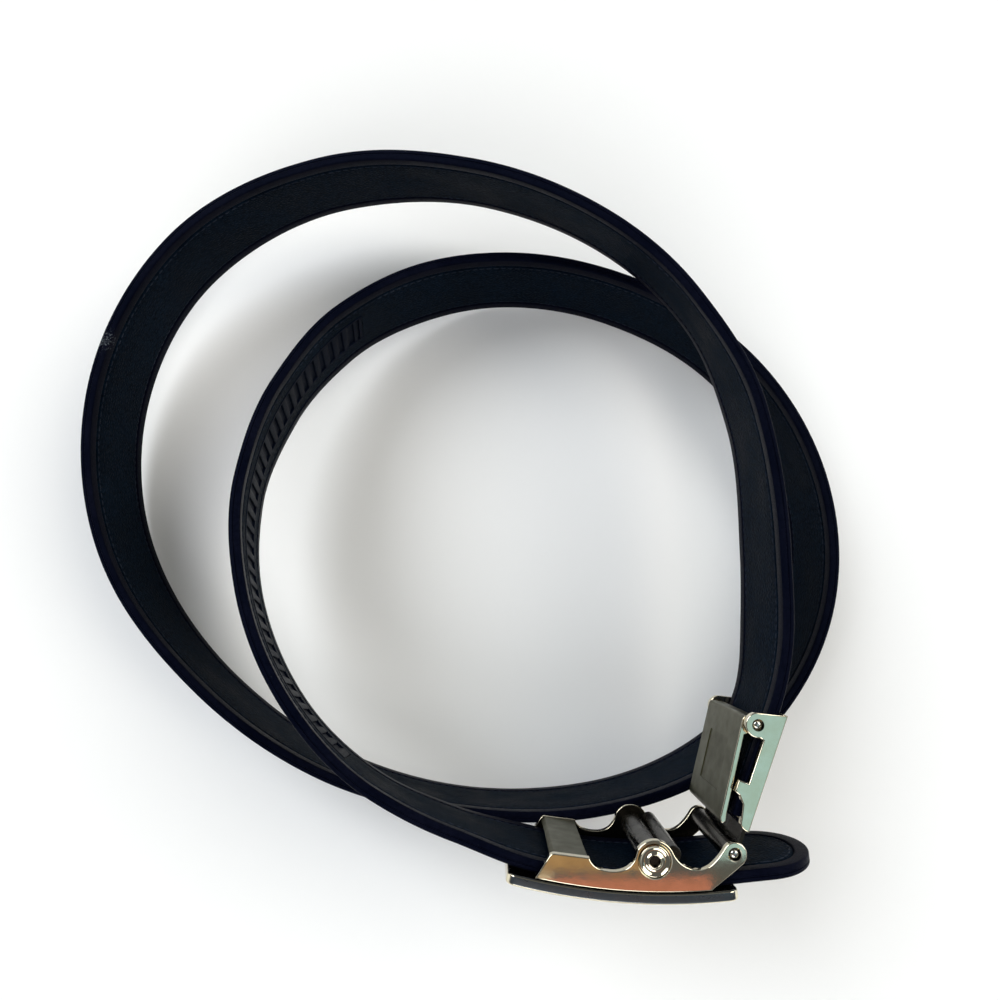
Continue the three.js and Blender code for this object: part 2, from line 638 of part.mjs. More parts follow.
function clampWall() {
  const low = -CLAMP_SET;
  const notch = CLAMP_STRAP_TOP - NOTCH_DROP;
  const post = CLAMP_STRAP_TOP + POST_RISE;
  const postEnd = NOTCH_START - POST_WIDTH;
  const shoulder = notch - SHOULDER_FALL;
  const roundEnd = CLAMP_WALL_START + SHOULDER_ROUND;
  const shape = new THREE.Shape();
  shape.moveTo(CLAMP_WALL_START, low);
  shape.lineTo(CLAMP_LENGTH, low);
  shape.lineTo(...onArc(CLAMP_PIN_AT, CLAMP_BOSS, BOSS_BLEND));
  shape.absarc(CLAMP_PIN_AT.x, CLAMP_PIN_AT.y, CLAMP_BOSS, BOSS_BLEND, Math.PI + BOSS_BLEND, false);
  shape.lineTo(NOTCH_START + NOTCH_LENGTH, notch);
  shape.lineTo(NOTCH_START, notch);
  shape.lineTo(NOTCH_START, post);
  shape.lineTo(postEnd + WALL_CORNER / 2, post);
  shape.quadraticCurveTo(postEnd, post - WALL_CORNER, postEnd, (notch + post) / 2);
  shape.lineTo(postEnd - POST_FOOT, notch - SHOULDER_FALL / 4);
  shape.lineTo(roundEnd, shoulder);
  shape.quadraticCurveTo(CLAMP_WALL_START, shoulder, CLAMP_WALL_START, low);
  return shape;
}

function clampBase() {
  const inner = INNER_WIDTH / 2;
  const outer = BUCKLE_WIDTH / 2;
  const low = -CLAMP_SET;
  const walls = [-outer, inner].map((z) => prism(clampWall(), z, z + WALL, EDGE_ROUND, 5));
  const floor = box(new THREE.Vector3(CLAMP_WALL_START + EDGE_ROUND, low, -inner - WALL / 2),
    new THREE.Vector3(CLAMP_LENGTH, low + BASE_THICKNESS, inner + WALL / 2));
  const tongue = box(new THREE.Vector3(0, low, -INSIDE / 2),
    new THREE.Vector3(CLAMP_WALL_START + BASE_THICKNESS, low + BASE_THICKNESS, INSIDE / 2));
  const hole = PIN_RADIUS + SEAT_GAP;
  let base = walls[0].add(walls[1]).add(floor).add(tongue);
  base = base.add(rod(new THREE.Vector2(), KNUCKLE_RADIUS, INSIDE, 20));
  base = base.subtract(rod(new THREE.Vector2(), hole, BUCKLE_WIDTH + OVERCUT));
  base = base.subtract(rod(CLAMP_PIN_AT, PIN_HOLE, BUCKLE_WIDTH + OVERCUT));
  return gold('clamp_base', geometryOf(base));
}

function clampFlap() {
  const length = CLAMP_PIN_AT.x - FLAP_END;
  const slope = Math.atan2(FLAP_FALL, length - FLAP_CURL);
  const curl = FLAP_CURL - length;
  const low = FLAP_CROWN - FLAP_FALL;
  const lip = low - FLAP_LIP;
  const shape = new THREE.Shape();
  shape.absarc(0, 0, EYE_RADIUS, EYE_ARC.from, EYE_ARC.to, false);
  shape.quadraticCurveTo(0.9 * EYE_RADIUS, FLAP_CROWN - EYE_WALL / 4, 0, FLAP_CROWN);
  shape.lineTo(curl, low);
  shape.quadraticCurveTo(curl - 0.8 * FLAP_CURL, low, -length, lip);
  shape.lineTo(LIP_THICKNESS - length, lip - LIP_THICKNESS);
  shape.lineTo(curl + LIP_THICKNESS, low - FLAP_THICKNESS);
  shape.lineTo(-2 * EYE_RADIUS, FLAP_CROWN - FLAP_THICKNESS - 2 * EYE_RADIUS * Math.tan(slope));
  shape.lineTo(...onArc({ x: 0, y: 0 }, EYE_RADIUS, EYE_ARC.from));
  const hole = rod(new THREE.Vector2(), PIN_RADIUS + SEAT_GAP, INSIDE + OVERCUT);
  const panel = new THREE.BoxGeometry(PANEL_LENGTH, 2 * PANEL_DEPTH, PANEL_WIDTH);
  panel.rotateZ(slope);
  panel.translate(-length / 2, FLAP_CROWN - length / 2 * Math.tan(slope), 0);
  const body = prism(shape, -INSIDE / 2, INSIDE / 2, 0, 5).subtract(hole).subtract(solidOf(panel));
  const mesh = gold('clamp_flap', geometryOf(body));
  mesh.position.set(CLAMP_PIN_AT.x, CLAMP_PIN_AT.y, 0);
  return mesh;
}

function buildBuckle() {
  const buckle = new THREE.Group();
  buckle.add(bowedPlate(), buckleFrame(), pawlAxle(), pawl(), plainPin('hinge_pin', HINGE_AT));
  const pivot = inBuckle(0, 0);
  buckle.position.set(pivot.x, pivot.y, UPPER_LIFT + STRAP_WIDTH / 2);
  buckle.rotation.z = BUCKLE_HEADING;
  return buckle;
}

function buildClamp() {
  const clamp = new THREE.Group();
  clamp.add(clampBase(), clampFlap(), plainPin('clamp_pin', CLAMP_PIN_AT));
  clamp.position.set(HINGE_WORLD.x, HINGE_WORLD.y, UPPER_LIFT + STRAP_WIDTH / 2);
  clamp.rotation.z = CLAMP_HEADING;
  return clamp;
}

// The origin is the middle of the base that the coil stands on.
function buildBelt() {
  const belt = new THREE.Group();
  belt.add(strapLeather(), strapLining(), ratchetTrack(), buildBuckle(), buildClamp());
  belt.updateMatrixWorld(true);
  const bounds = new THREE.Box3().setFromObject(belt, true);
  const middle = bounds.getCenter(new THREE.Vector3());
  belt.position.set(-middle.x, -middle.y, -bounds.min.z);
  return belt;
}

export default buildBelt();
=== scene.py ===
"""Looks of a ratchet belt, coiled and fastened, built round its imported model.

Shapes are worked out in millimetres: the strap flat, then bent along its route, and the metal
pieces in the buckle's or the clamp's own axes, then turned into place. Meshes are in metres.
"""
import json
import logging
import math
from collections.abc import Callable, Iterable
from dataclasses import dataclass, field
from enum import Enum
from typing import NamedTuple

import bmesh
import bpy
import numpy as np
from mathutils import Matrix, Vector


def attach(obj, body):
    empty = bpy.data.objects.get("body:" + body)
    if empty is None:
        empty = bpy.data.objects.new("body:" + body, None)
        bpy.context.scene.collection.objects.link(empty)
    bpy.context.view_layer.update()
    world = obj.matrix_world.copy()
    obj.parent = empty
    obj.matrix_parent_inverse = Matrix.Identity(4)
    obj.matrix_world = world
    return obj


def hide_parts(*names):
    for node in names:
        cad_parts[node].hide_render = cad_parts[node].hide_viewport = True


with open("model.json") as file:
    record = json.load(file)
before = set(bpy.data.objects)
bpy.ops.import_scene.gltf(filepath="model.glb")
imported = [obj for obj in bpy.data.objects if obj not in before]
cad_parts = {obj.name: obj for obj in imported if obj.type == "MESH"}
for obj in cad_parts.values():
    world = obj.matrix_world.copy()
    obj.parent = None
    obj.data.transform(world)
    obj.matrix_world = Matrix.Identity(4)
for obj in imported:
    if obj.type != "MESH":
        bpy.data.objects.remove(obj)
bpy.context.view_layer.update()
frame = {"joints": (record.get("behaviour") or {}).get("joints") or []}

LOG = logging.getLogger("belt")
MM = 0.001
SEAT_GAP = 0.3
ROUTE_STEP = 2.0
SCUFF_TURN = 157.0
MERGE_REACH = 1e-3
PLANE_REACH = 1e-5
# Which faces take another finish: how squarely they face an axis, and how near a surface they lie, in mm.
EDGE_SHARE = 0.5
TURNED = 0.8
SQUARE_ON = 0.9
ON_FACE = 0.1
WALL_SKIN = 0.05
FLAP_SKIN = 0.2
RIM_DEPTH = 0.6
NOSE_SHARE = 0.2  # how much of the pawl's nose is sloped off
Section = list[tuple[float, float]]


class Slot(Enum):
    """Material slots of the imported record."""

    LEATHER = "strap_leather"
    LINING = "strap_lining"
    TRACK = "ratchet_track"
    GOLD = "gold_metal"
    DARK = "dark_metal"


class Body(Enum):
    """Bodies that the pieces ride on."""

    BELT = "belt"
    PAWL = "pawl"
    FLAP = "flap"


# Finishes


class Nodes:
    """A material's node tree, with short calls for the nodes that the finishes share."""

    def __init__(self, name: str) -> None:
        """Starts a material with a plain shader.

        Args:
            name: the material's name.
        """
        self.material = bpy.data.materials.new(name)
        self.material.use_nodes = True
        self.tree = self.material.node_tree
        self.shader = self.tree.nodes["Principled BSDF"]
        self.place = self.tree.nodes.new("ShaderNodeTexCoord").outputs["Object"]

    def _feed(self, node: bpy.types.Node, inputs: dict[str, object]) -> None:
        """Links sockets to a node's inputs or sets their values, by input name with _ for a space."""
        for key, value in inputs.items():
            socket = node.inputs[key.replace("_", " ")]
            if isinstance(value, bpy.types.NodeSocket):
                self.tree.links.new(value, socket)
            else:
                socket.default_value = value

    def add(self, kind: str, settings: dict | None = None, **inputs: object) -> bpy.types.Node:
        """Adds a node.

        Args:
            kind: the node's type, without its ShaderNode prefix.
            settings: properties of the node itself.
            inputs: values or sockets, by input name with _ for a space.

        Returns:
            The new node.
        """
        node = self.tree.nodes.new(f"ShaderNode{kind}")
        for key, value in (settings or {}).items():
            setattr(node, key, value)
        self._feed(node, inputs)
        return node

    def noise(self, scale: float, detail: float = 4.0, **inputs: object) -> bpy.types.NodeSocket:
        """Noise over the object.

        Args:
            scale: waves per metre.
            detail: octaves.
            inputs: further noise inputs.

        Returns:
            The noise's value, about 0.5 on average.
        """
        inputs.setdefault("Vector", self.place)
        return self.add("TexNoise", Scale=scale, Detail=detail, **inputs).outputs["Fac"]

    def spread(self, value: bpy.types.NodeSocket, low: float, high: float,
               start: float = 0.3, end: float = 0.7) -> bpy.types.NodeSocket:
        """Maps a value from start..end to low..high, clamped.

        Args:
            value: the socket to map.
            low: result at start.
            high: result at end.
            start: value that gives low.
            end: value that gives high.

        Returns:
            The mapped socket.
        """
        return self.add("MapRange", Value=value, From_Min=start, From_Max=end, To_Min=low,
                        To_Max=high).outputs["Result"]

    def blend(self, factor: bpy.types.NodeSocket, first: object, second: object) -> bpy.types.NodeSocket:
        """Mixes two colours.

        Args:
            factor: 0 gives first, 1 gives second.
            first: colour or socket.
            second: colour or socket.

        Returns:
            The mixed colour's socket.
        """
        node = self.add("Mix", {"data_type": "RGBA"})
        self.tree.links.new(factor, node.inputs["Factor"])
        for index, value in ((6, first), (7, second)):
            if isinstance(value, bpy.types.NodeSocket):
                self.tree.links.new(value, node.inputs[index])
            else:
                node.inputs[index].default_value = (*value, 1.0)
        return node.outputs[2]

    def relief(self, height: bpy.types.NodeSocket, depth_mm: float,
               below: bpy.types.NodeSocket | None = None) -> bpy.types.NodeSocket:
        """Bumps the surface.

        Args:
            height: the relief, 0 to 1.
            depth_mm: how high 1 stands.
            below: the normal of a coarser relief under this one.

        Returns:
            The bumped normal.
        """
        node = self.add("Bump", Height=height, Distance=depth_mm * MM)
        if below is not None:
            self.tree.links.new(below, node.inputs["Normal"])
        return node.outputs["Normal"]

    def shade(self, **inputs: object) -> None:
        """Gives the shader sockets or even values, by input name with _ for a space."""
        self._feed(self.shader, inputs)


Colour = tuple[float, float, float]


@dataclass(frozen=True)
class LeatherFinish:
    """Dyed leather with a pebbled grain. Scales are waves per metre."""

    CLOUD_SCALE = 70.0
    MOTTLE_SCALE = 900.0
    CREASE_SCALE = 160.0
    RUB_SCALE = 1500.0
    DARK_SHARE = 0.4
    CELL_EDGE = 0.14
    RUB_SHARE = 0.2

    name: str
    deep: Colour
    light: Colour
    grain_mm: float = 0.55
    grain_depth: float = 0.05
    crease_depth: float = 0.05
    roughness: tuple[float, float] = (0.42, 0.56)
    gloss: float = 0.1
    tint: Colour = (0.45, 0.6, 1.0)
    mottle: float = 0.45
    worn: Colour | None = None
    worn_mm: tuple[float, float, float] = (0.0, 0.0, 0.0)
    worn_reach: float = 6.5

    def material(self) -> bpy.types.Material:
        """Makes the material."""
        nodes = Nodes(self.name)
        cells = nodes.add("TexVoronoi", {"feature": "DISTANCE_TO_EDGE"}, Vector=nodes.place,
                          Scale=1.0 / (self.grain_mm * MM)).outputs["Distance"]
        grain = nodes.spread(cells, 0.0, 1.0, 0.0, 0.35)
        cloud = nodes.noise(self.CLOUD_SCALE, 5.0)
        mottle = nodes.noise(self.MOTTLE_SCALE, 3.0)
        tone = nodes.blend(nodes.spread(cloud, 0.0, 1.0), self.deep, self.light)
        dark = tuple(self.DARK_SHARE * part for part in self.deep)
        tone = nodes.blend(nodes.spread(mottle, 0.0, self.mottle, 0.45, 0.65), tone, dark)
        tone = nodes.blend(nodes.spread(cells, 0.8 * self.mottle, 0.0, 0.0, self.CELL_EDGE), tone, dark)
        if self.worn:
            away = nodes.add("VectorMath", {"operation": "DISTANCE"})
            nodes.tree.links.new(nodes.place, away.inputs[0])
            away.inputs[1].default_value = tuple(part * MM for part in self.worn_mm)
            reach = self.worn_reach * MM
            near = nodes.spread(away.outputs["Value"], self.RUB_SHARE, 0.0, 0.2 * reach, reach)
            rub = nodes.add("Math", {"operation": "ADD"})
            nodes.tree.links.new(nodes.noise(self.RUB_SCALE, 5.0, Roughness=0.7), rub.inputs[0])
            nodes.tree.links.new(near, rub.inputs[1])
            tone = nodes.blend(nodes.spread(rub.outputs[0], 0.0, 1.0, 0.70, 0.82), tone, self.worn)
        nodes.shade(Specular_IOR_Level=self.gloss, Specular_Tint=(*self.tint, 1.0))
        creases = nodes.noise(self.CREASE_SCALE, 6.0, Distortion=1.2)
        below = nodes.relief(creases, self.crease_depth)
        nodes.shade(Base_Color=tone, Roughness=nodes.spread(cloud, *self.roughness),
                    Normal=nodes.relief(grain, self.grain_depth, below))
        return nodes.material


@dataclass(frozen=True)
class MetalFinish:
    """Plated, cast or turned metal. Scales are waves per metre."""

    CLOUD_SCALE = 240.0
    STREAK_SCALE = 9000.0
    STREAK_SQUASH = 0.02

    name: str
    colour: Colour
    shade: Colour
    roughness: tuple[float, float] = (0.08, 0.16)
    cast_mm: float = 1.6
    cast_depth: float = 0.004
    brushed: float = 0.0

    def material(self) -> bpy.types.Material:
        """Makes the material."""
        nodes = Nodes(self.name)
        cloud = nodes.noise(self.CLOUD_SCALE)
        nodes.shade(Metallic=1.0)
        tone = nodes.blend(nodes.spread(cloud, 0.0, 1.0), self.colour, self.shade)
        cast = nodes.noise(1.0 / (self.cast_mm * MM), 5.0, Roughness=0.6)
        normal = nodes.relief(cast, self.cast_depth)
        if self.brushed:
            squash = (1.0, 1.0, self.STREAK_SQUASH)
            lines = nodes.add("Mapping", Vector=nodes.place, Scale=squash).outputs["Vector"]
            streaks = nodes.noise(self.STREAK_SCALE, 2.0, Vector=lines)
            normal = nodes.relief(streaks, self.brushed, normal)
        nodes.shade(Base_Color=tone, Roughness=nodes.spread(cloud, *self.roughness), Normal=normal)
        return nodes.material


class Finishes:
    """Every finish of the belt, made once."""

    def __init__(self, scuffed_mm: tuple[float, float, float]) -> None:
        """Makes the materials.

        Args:
            scuffed_mm: the place on the strap's edge that is scuffed.
        """
        self.leather = LeatherFinish(
            "edge_dyed_leather", (0.0015, 0.0022, 0.0072), (0.0040, 0.0047, 0.0115),
            grain_mm=0.5, grain_depth=0.03, roughness=(0.30, 0.42), gloss=0.018,
            worn=(0.11, 0.125, 0.14), worn_mm=scuffed_mm).material()
        self.lining = LeatherFinish(
            "crackled_lining", (0.0010, 0.0044, 0.0105), (0.0052, 0.0118, 0.0225), grain_mm=1.1,
            grain_depth=0.12, crease_depth=0.1, roughness=(0.42, 0.6), gloss=0.012, mottle=0.8).material()
        self.track = LeatherFinish(
            "moulded_track", (0.0022, 0.0042, 0.0110), (0.0060, 0.0085, 0.0170), grain_mm=0.35,
            grain_depth=0.01, crease_depth=0.01, roughness=(0.36, 0.46), gloss=0.012).material()
        self.thread = LeatherFinish(
            "waxed_thread", (0.0080, 0.0110, 0.0190), (0.0270, 0.0330, 0.0470),
            grain_mm=0.2, grain_depth=0.03, roughness=(0.5, 0.6)).material()
        self.gold = MetalFinish(
            "polished_pale_gold", (0.80, 0.74, 0.58), (0.74, 0.66, 0.48),
            roughness=(0.035, 0.075)).material()
        self.satin = MetalFinish(
            "satin_olive_grey", (0.098, 0.094, 0.052), (0.078, 0.074, 0.042),
            roughness=(0.34, 0.44), brushed=0.002).material()
        self.panel = MetalFinish(
            "blasted_olive_panel", (0.120, 0.116, 0.076), (0.088, 0.084, 0.054),
            roughness=(0.42, 0.5), cast_mm=0.5, cast_depth=0.01).material()
        self.gunmetal = MetalFinish(
            "dark_gunmetal", (0.085, 0.088, 0.086), (0.055, 0.058, 0.060),
            roughness=(0.2, 0.3)).material()
        self.cast = MetalFinish(
            "dark_cast_metal", (0.064, 0.056, 0.044), (0.036, 0.031, 0.025),
            roughness=(0.2, 0.3), cast_mm=0.9, cast_depth=0.008).material()
        self.slate = MetalFinish(
            "slate_plate_edge", (0.115, 0.128, 0.140), (0.080, 0.092, 0.105),
            roughness=(0.26, 0.34), brushed=0.001).material()
        self.pin = MetalFinish(
            "turned_steel", (0.62, 0.62, 0.58), (0.50, 0.49, 0.46), roughness=(0.12, 0.2)).material()


# Shared mesh work


def link(name: str, data: bpy.types.ID) -> bpy.types.Object:
    """Puts a mesh, light or camera into the scene as a new object."""
    thing = bpy.data.objects.new(name, data)
    bpy.context.scene.collection.objects.link(thing)
    return thing


def put(bm: bmesh.types.BMesh, name: str, body: Body, slot: Slot, *materials: bpy.types.Material,
        replaces: str | None = None, smooth_angle: float = 35.0,
        even: bool = False) -> bpy.types.Object:
    """Makes a finished piece of a mesh in millimetres.

    Args:
        bm: the mesh, which is freed.
        name: the piece's name.
        body: what it rides on.
        slot: the record's material slot; not used.
        materials: its materials, by the faces' material index.
        replaces: the CAD node that it stands for.
        smooth_angle: edges sharper than this many degrees stay crisp.
        even: whether large flat faces keep their own normals up to their rounded edges.

    Returns:
        The new object.
    """
    bmesh.ops.scale(bm, vec=(MM, MM, MM), verts=bm.verts)
    mesh = bpy.data.meshes.new(name)
    bm.to_mesh(mesh)
    bm.free()
    mesh.shade_smooth()
    mesh.set_sharp_from_angle(angle=math.radians(smooth_angle))
    for material in materials:
        mesh.materials.append(material)
    piece = link(name, mesh)
    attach(piece, body.value)
    if replaces:
        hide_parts(replaces)
    if even:
        shading = piece.modifiers.new("even_shading", "WEIGHTED_NORMAL")
        shading.keep_sharp = True
    LOG.info("%s: %d faces on %s", name, len(mesh.polygons), body.value)
    return piece


def tidy(bm: bmesh.types.BMesh) -> bmesh.types.BMesh:
    """Merges doubled corners and turns the faces outwards."""
    bmesh.ops.remove_doubles(bm, verts=bm.verts, dist=MERGE_REACH)
    bmesh.ops.recalc_face_normals(bm, faces=bm.faces)
    return bm


def chain(bm: bmesh.types.BMesh, points: Iterable[Vector], closed: bool) -> list:
    """Adds corners joined by edges.

    Args:
        bm: the mesh.
        points: the corners' places.
        closed: whether the last corner joins the first.

    Returns:
        The new corners and edges.
    """
    verts = [bm.verts.new(point) for point in points]
    pairs = list(zip(verts, verts[1:]))
    if closed:
        pairs.append((verts[-1], verts[0]))
    return verts + [bm.edges.new(pair) for pair in pairs]


def round_corner(centre: tuple[float, float], radius: float, start: float, end: float,
                 steps: int = 5) -> Section:
    """Points on an arc.

    Args:
        centre: the arc's centre.
        radius: the arc's radius.
        start: first angle in degrees.
        end: last angle in degrees.
        steps: spans along the arc.

    Returns:
        steps + 1 points.
    """
    angles = [math.radians(start + (end - start) * i / steps) for i in range(steps + 1)]
    return [(centre[0] + radius * math.cos(a), centre[1] + radius * math.sin(a)) for a in angles]


def bowed(start: tuple[float, float], control: tuple[float, float], end: tuple[float, float],
          steps: int = 10) -> Section:
    """Points on a curve pulled towards one control point, without its first point.

    Args:
        start: where the curve starts.
        control: the point that pulls it.
        end: where it ends.
        steps: spans along the curve.

    Returns:
        steps points.
    """
    shares = [i / steps for i in range(1, steps + 1)]
    return [tuple((1 - t) ** 2 * a + 2 * t * (1 - t) * c + t * t * b
                  for a, c, b in zip(start, control, end)) for t in shares]


def softened(outline: Section, radius: float) -> Section:
    """Rounds the corners of a flat outline.

    Args:
        outline: corners in order.
        radius: how far from each corner the rounding starts.

    Returns:
        The rounded outline.
    """
    corners = [Vector(corner) for corner in outline]
    soft = []
    for before, corner, after in zip(corners[-1:] + corners[:-1], corners, corners[1:] + corners[:1]):
        start = corner + (before - corner).normalized() * radius
        end = corner + (after - corner).normalized() * radius
        soft += [tuple(start), *bowed(start, corner, end, 4)]
    return soft


def prism(outline: Section, low: float, high: float, edge: float = 0.0,
          segments: int = 3) -> bmesh.types.BMesh:
    """Extrudes a flat outline along z and rounds the edges of its two faces.

    Args:
        outline: corners in order.
        low: lower face.
        high: upper face.
        edge: radius of the rounding, or 0.
        segments: spans across the rounding.

    Returns:
        The solid.
    """
    bm = bmesh.new()
    face = bm.faces.new([bm.verts.new((x, y, low)) for x, y in outline])
    grown = bmesh.ops.extrude_face_region(bm, geom=[face])["geom"]
    bmesh.ops.translate(bm, vec=(0, 0, high - low),
                        verts=[part for part in grown if isinstance(part, bmesh.types.BMVert)])
    tidy(bm)
    if edge:
        rims = [e for e in bm.edges if abs(e.verts[0].co.z - e.verts[1].co.z) < 1e-6]
        bmesh.ops.bevel(bm, geom=rims, offset=edge, affect="EDGES", segments=segments,
                        profile=0.5, material=-1, clamp_overlap=True)
    return bm


def lathe(profile: Section, steps: int = 48) -> bmesh.types.BMesh:
    """Spins a profile of (radius, z) points round the z axis.

    Args:
        profile: points from one end of the axis to the other.
        steps: spans round the axis.

    Returns:
        The turned solid.
    """
    bm = bmesh.new()
    geom = chain(bm, [Vector((radius, 0, z)) for radius, z in profile], closed=False)
    bmesh.ops.spin(bm, geom=geom, cent=(0, 0, 0), axis=(0, 0, 1), angle=2 * math.pi, steps=steps,
                   use_merge=True, use_duplicate=False)
    return tidy(bm)


def block(low: tuple[float, float, float], high: tuple[float, float, float],
          edge: float = 0.0) -> bmesh.types.BMesh:
    """Makes a box with rounded edges between two corners."""
    bm = bmesh.new()
    size = Vector(high) - Vector(low)
    middle = (Vector(high) + Vector(low)) / 2
    bmesh.ops.create_cube(bm, size=1.0, matrix=Matrix.Translation(middle) @ Matrix.Diagonal((*size, 1)))
    if edge:
        bmesh.ops.bevel(bm, geom=bm.edges, offset=edge, affect="EDGES", segments=3, profile=0.5,
                        material=-1, clamp_overlap=True)
    return bm


def carve(base: bmesh.types.BMesh, others: list[bmesh.types.BMesh], operation: str) -> bmesh.types.BMesh:
    """Joins or cuts solids.

    Args:
        base: the solid to work on, which is freed.
        others: the solids to add or take away, which are freed.
        operation: UNION or DIFFERENCE.

    Returns:
        The result.
    """
    holders = []
    for bm in (base, *others):
        mesh = bpy.data.meshes.new("work")
        bm.to_mesh(mesh)
        bm.free()
        holders.append(link("work", mesh))
    for other in holders[1:]:
        modifier = holders[0].modifiers.new("carve", "BOOLEAN")
        modifier.operation = operation
        modifier.solver = "EXACT"
        modifier.object = other
    graph = bpy.context.evaluated_depsgraph_get()
    result = bmesh.new()
    result.from_mesh(holders[0].evaluated_get(graph).data)
    for holder in holders:
        mesh = holder.data
        bpy.data.objects.remove(holder)
        bpy.data.meshes.remove(mesh)
    return tidy(result)


def paint(bm: bmesh.types.BMesh, index: int, chosen: Callable[[Vector, Vector], bool]) -> None:
    """Gives the faces that are chosen by their middle and normal a material index."""
    bm.normal_update()
    for face in bm.faces:
        if chosen(face.calc_center_median(), face.normal):
            face.material_index = index


def sweep(bm: bmesh.types.BMesh, geom: list, along: Iterable[float], steps: int = 1) -> list:
    """Carries corners and edges along a line in equal steps.

    Args:
        bm: the mesh.
        geom: the corners and edges.
        along: how far they go.
        steps: spans on the way.

    Returns:
        The corners and edges at the far end.
    """
    return bmesh.ops.spin(bm, geom=geom, cent=(0, 0, 0), axis=(0, 0, 1), angle=0.0, steps=steps,
                          dvec=[part / steps for part in along], use_merge=False,
                          use_duplicate=False)["geom_last"]


def capped(bm: bmesh.types.BMesh, points: Iterable[Vector], along: Iterable[float], steps: int = 1) -> None:
    """Adds a closed outline carried along a line, with a face on both ends.

    Args:
        bm: the mesh.
        points: the outline's corners.
        along: how far it goes.
        steps: spans on the way.
    """
    first = chain(bm, points, closed=True)
    for loop in (first, sweep(bm, first, along, steps)):
        bmesh.ops.contextual_create(bm, geom=[part for part in loop if isinstance(part, bmesh.types.BMEdge)])


def score(bm: bmesh.types.BMesh, spot: Iterable[float], normal: Iterable[float]) -> None:
    """Cuts faces along a plane and keeps both sides."""
    bmesh.ops.bisect_plane(bm, geom=[*bm.verts, *bm.edges, *bm.faces], dist=PLANE_REACH,
                           plane_co=spot, plane_no=normal)


def spindle(half: Section, at: Iterable[float], steps: int = 64) -> bmesh.types.BMesh:
    """Spins a profile and its mirror image round a line along z.

    Args:
        half: (radius, z) points from the middle to one end.
        at: where the line stands.
        steps: spans round it.

    Returns:
        The turned solid.
    """
    bm = lathe([(r, -z) for r, z in reversed(half)] + half[1:], steps)
    bmesh.ops.translate(bm, vec=(*at, 0), verts=bm.verts)
    return bm


# Sizes, in millimetres and degrees


@dataclass(frozen=True)
class StrapSizes:
    """The strap laid flat."""

    width: float = 35.0
    thickness: float = 3.5
    outer_round: float = 0.9
    inner_round: float = 0.55
    seam_rise: float = 0.3
    seam_width: float = 0.4
    seam_depth: float = 0.25
    border: float = 4.0
    border_round: float = 0.5
    lining_thickness: float = 1.2
    lining_inset: float = 0.1
    lining_round: float = 0.85
    tip_round: float = 15.0
    tip_reach: float = 25.0
    tip_release: float = 4.0
    side_play: float = 0.5
    stitch_pitch: float = 3.1
    stitch_share: float = 0.37
    stitch_width: float = 0.5
    stitch_margin: float = 1.0


@dataclass(frozen=True)
class TrackSizes:
    """The ratchet track laid flat."""

    teeth: int = 35
    pitch: float = 4.65
    height: float = 0.7
    width: float = 15.0
    base: float = 0.5
    rail: float = 1.1
    end_bar: float = 1.2
    to_buckle: float = 54.0
    soft: float = 0.2
    tooth_share: float = 0.94
    tooth: tuple[tuple[float, float], ...] = (
        (0.0, 0.0), (0.22, 0.12), (0.42, 0.9), (0.47, 1.0), (0.80, 1.0), (0.85, 0.9), (0.88, 0.0))


@dataclass(frozen=True)
class BuckleSizes:
    """The buckle, with x along its plate, y towards the coil's middle and z along its width."""

    plate_length: float = 64.5
    plate_thickness: float = 3.1
    plate_radius: float = 175.0
    plate_lead: float = 8.2
    plate_corner: float = 2.5
    plate_round: float = 0.8
    plate_rim: float = 1.5
    crown_depth: float = 4.9
    wall: float = 2.2
    wall_length: float = 48.2
    bridge_length: float = 10.6
    bridge_setback: float = 3.8
    bridge_rise: float = 3.4
    bridge_thickness: float = 1.6
    bridge_fall: float = 0.5
    bridge_inset: float = 0.25
    wall_corner: float = 1.0
    scallop_rise: float = 1.4
    scallop_turn: float = 1.3
    saddle_rise: float = 0.3
    boss_blend: float = math.degrees(0.5)
    hinge_foot: float = 46.0
    pawl_boss: float = 5.6
    pawl_along: float = 32.3
    pawl_rise: float = 4.75
    hinge_boss: float = 3.3
    hinge_along: float = 54.1
    hinge_rise: float = 8.0
    heading: float = -4.15
    edge: float = 0.35
    axle_radius: float = 1.5
    axle_head: float = 4.2
    head_depth: float = 0.7
    head_cup: float = 1.2
    hub: float = 3.4
    bar: float = 2.3
    bar_rise: float = 1.6
    bar_reach: float = 5.4
    nose_reach: float = 6.9
    nose_width: float = 0.7
    nose_heel: float = 2.2
    facet_depth: float = 0.5
    facet_width: float = 3.5
    facet_length: float = 25.5
    pin_radius: float = 1.2
    pin_dome: float = 0.6
    bridge_round: float = 0.15
    bore_flare: float = 0.25
    head_round: float = 0.25
    head_dish: float = 0.8
    head_lip: float = 0.2
    hub_arc: tuple[float, float] = (28.0, 297.0)
    bar_arc: tuple[float, float] = (-36.0, 168.0)
    pawl_edge: float = 0.3
    facet_edge: float = 0.15
    pin_hole: float = 1.7
    knuckle_radius: float = 2.9


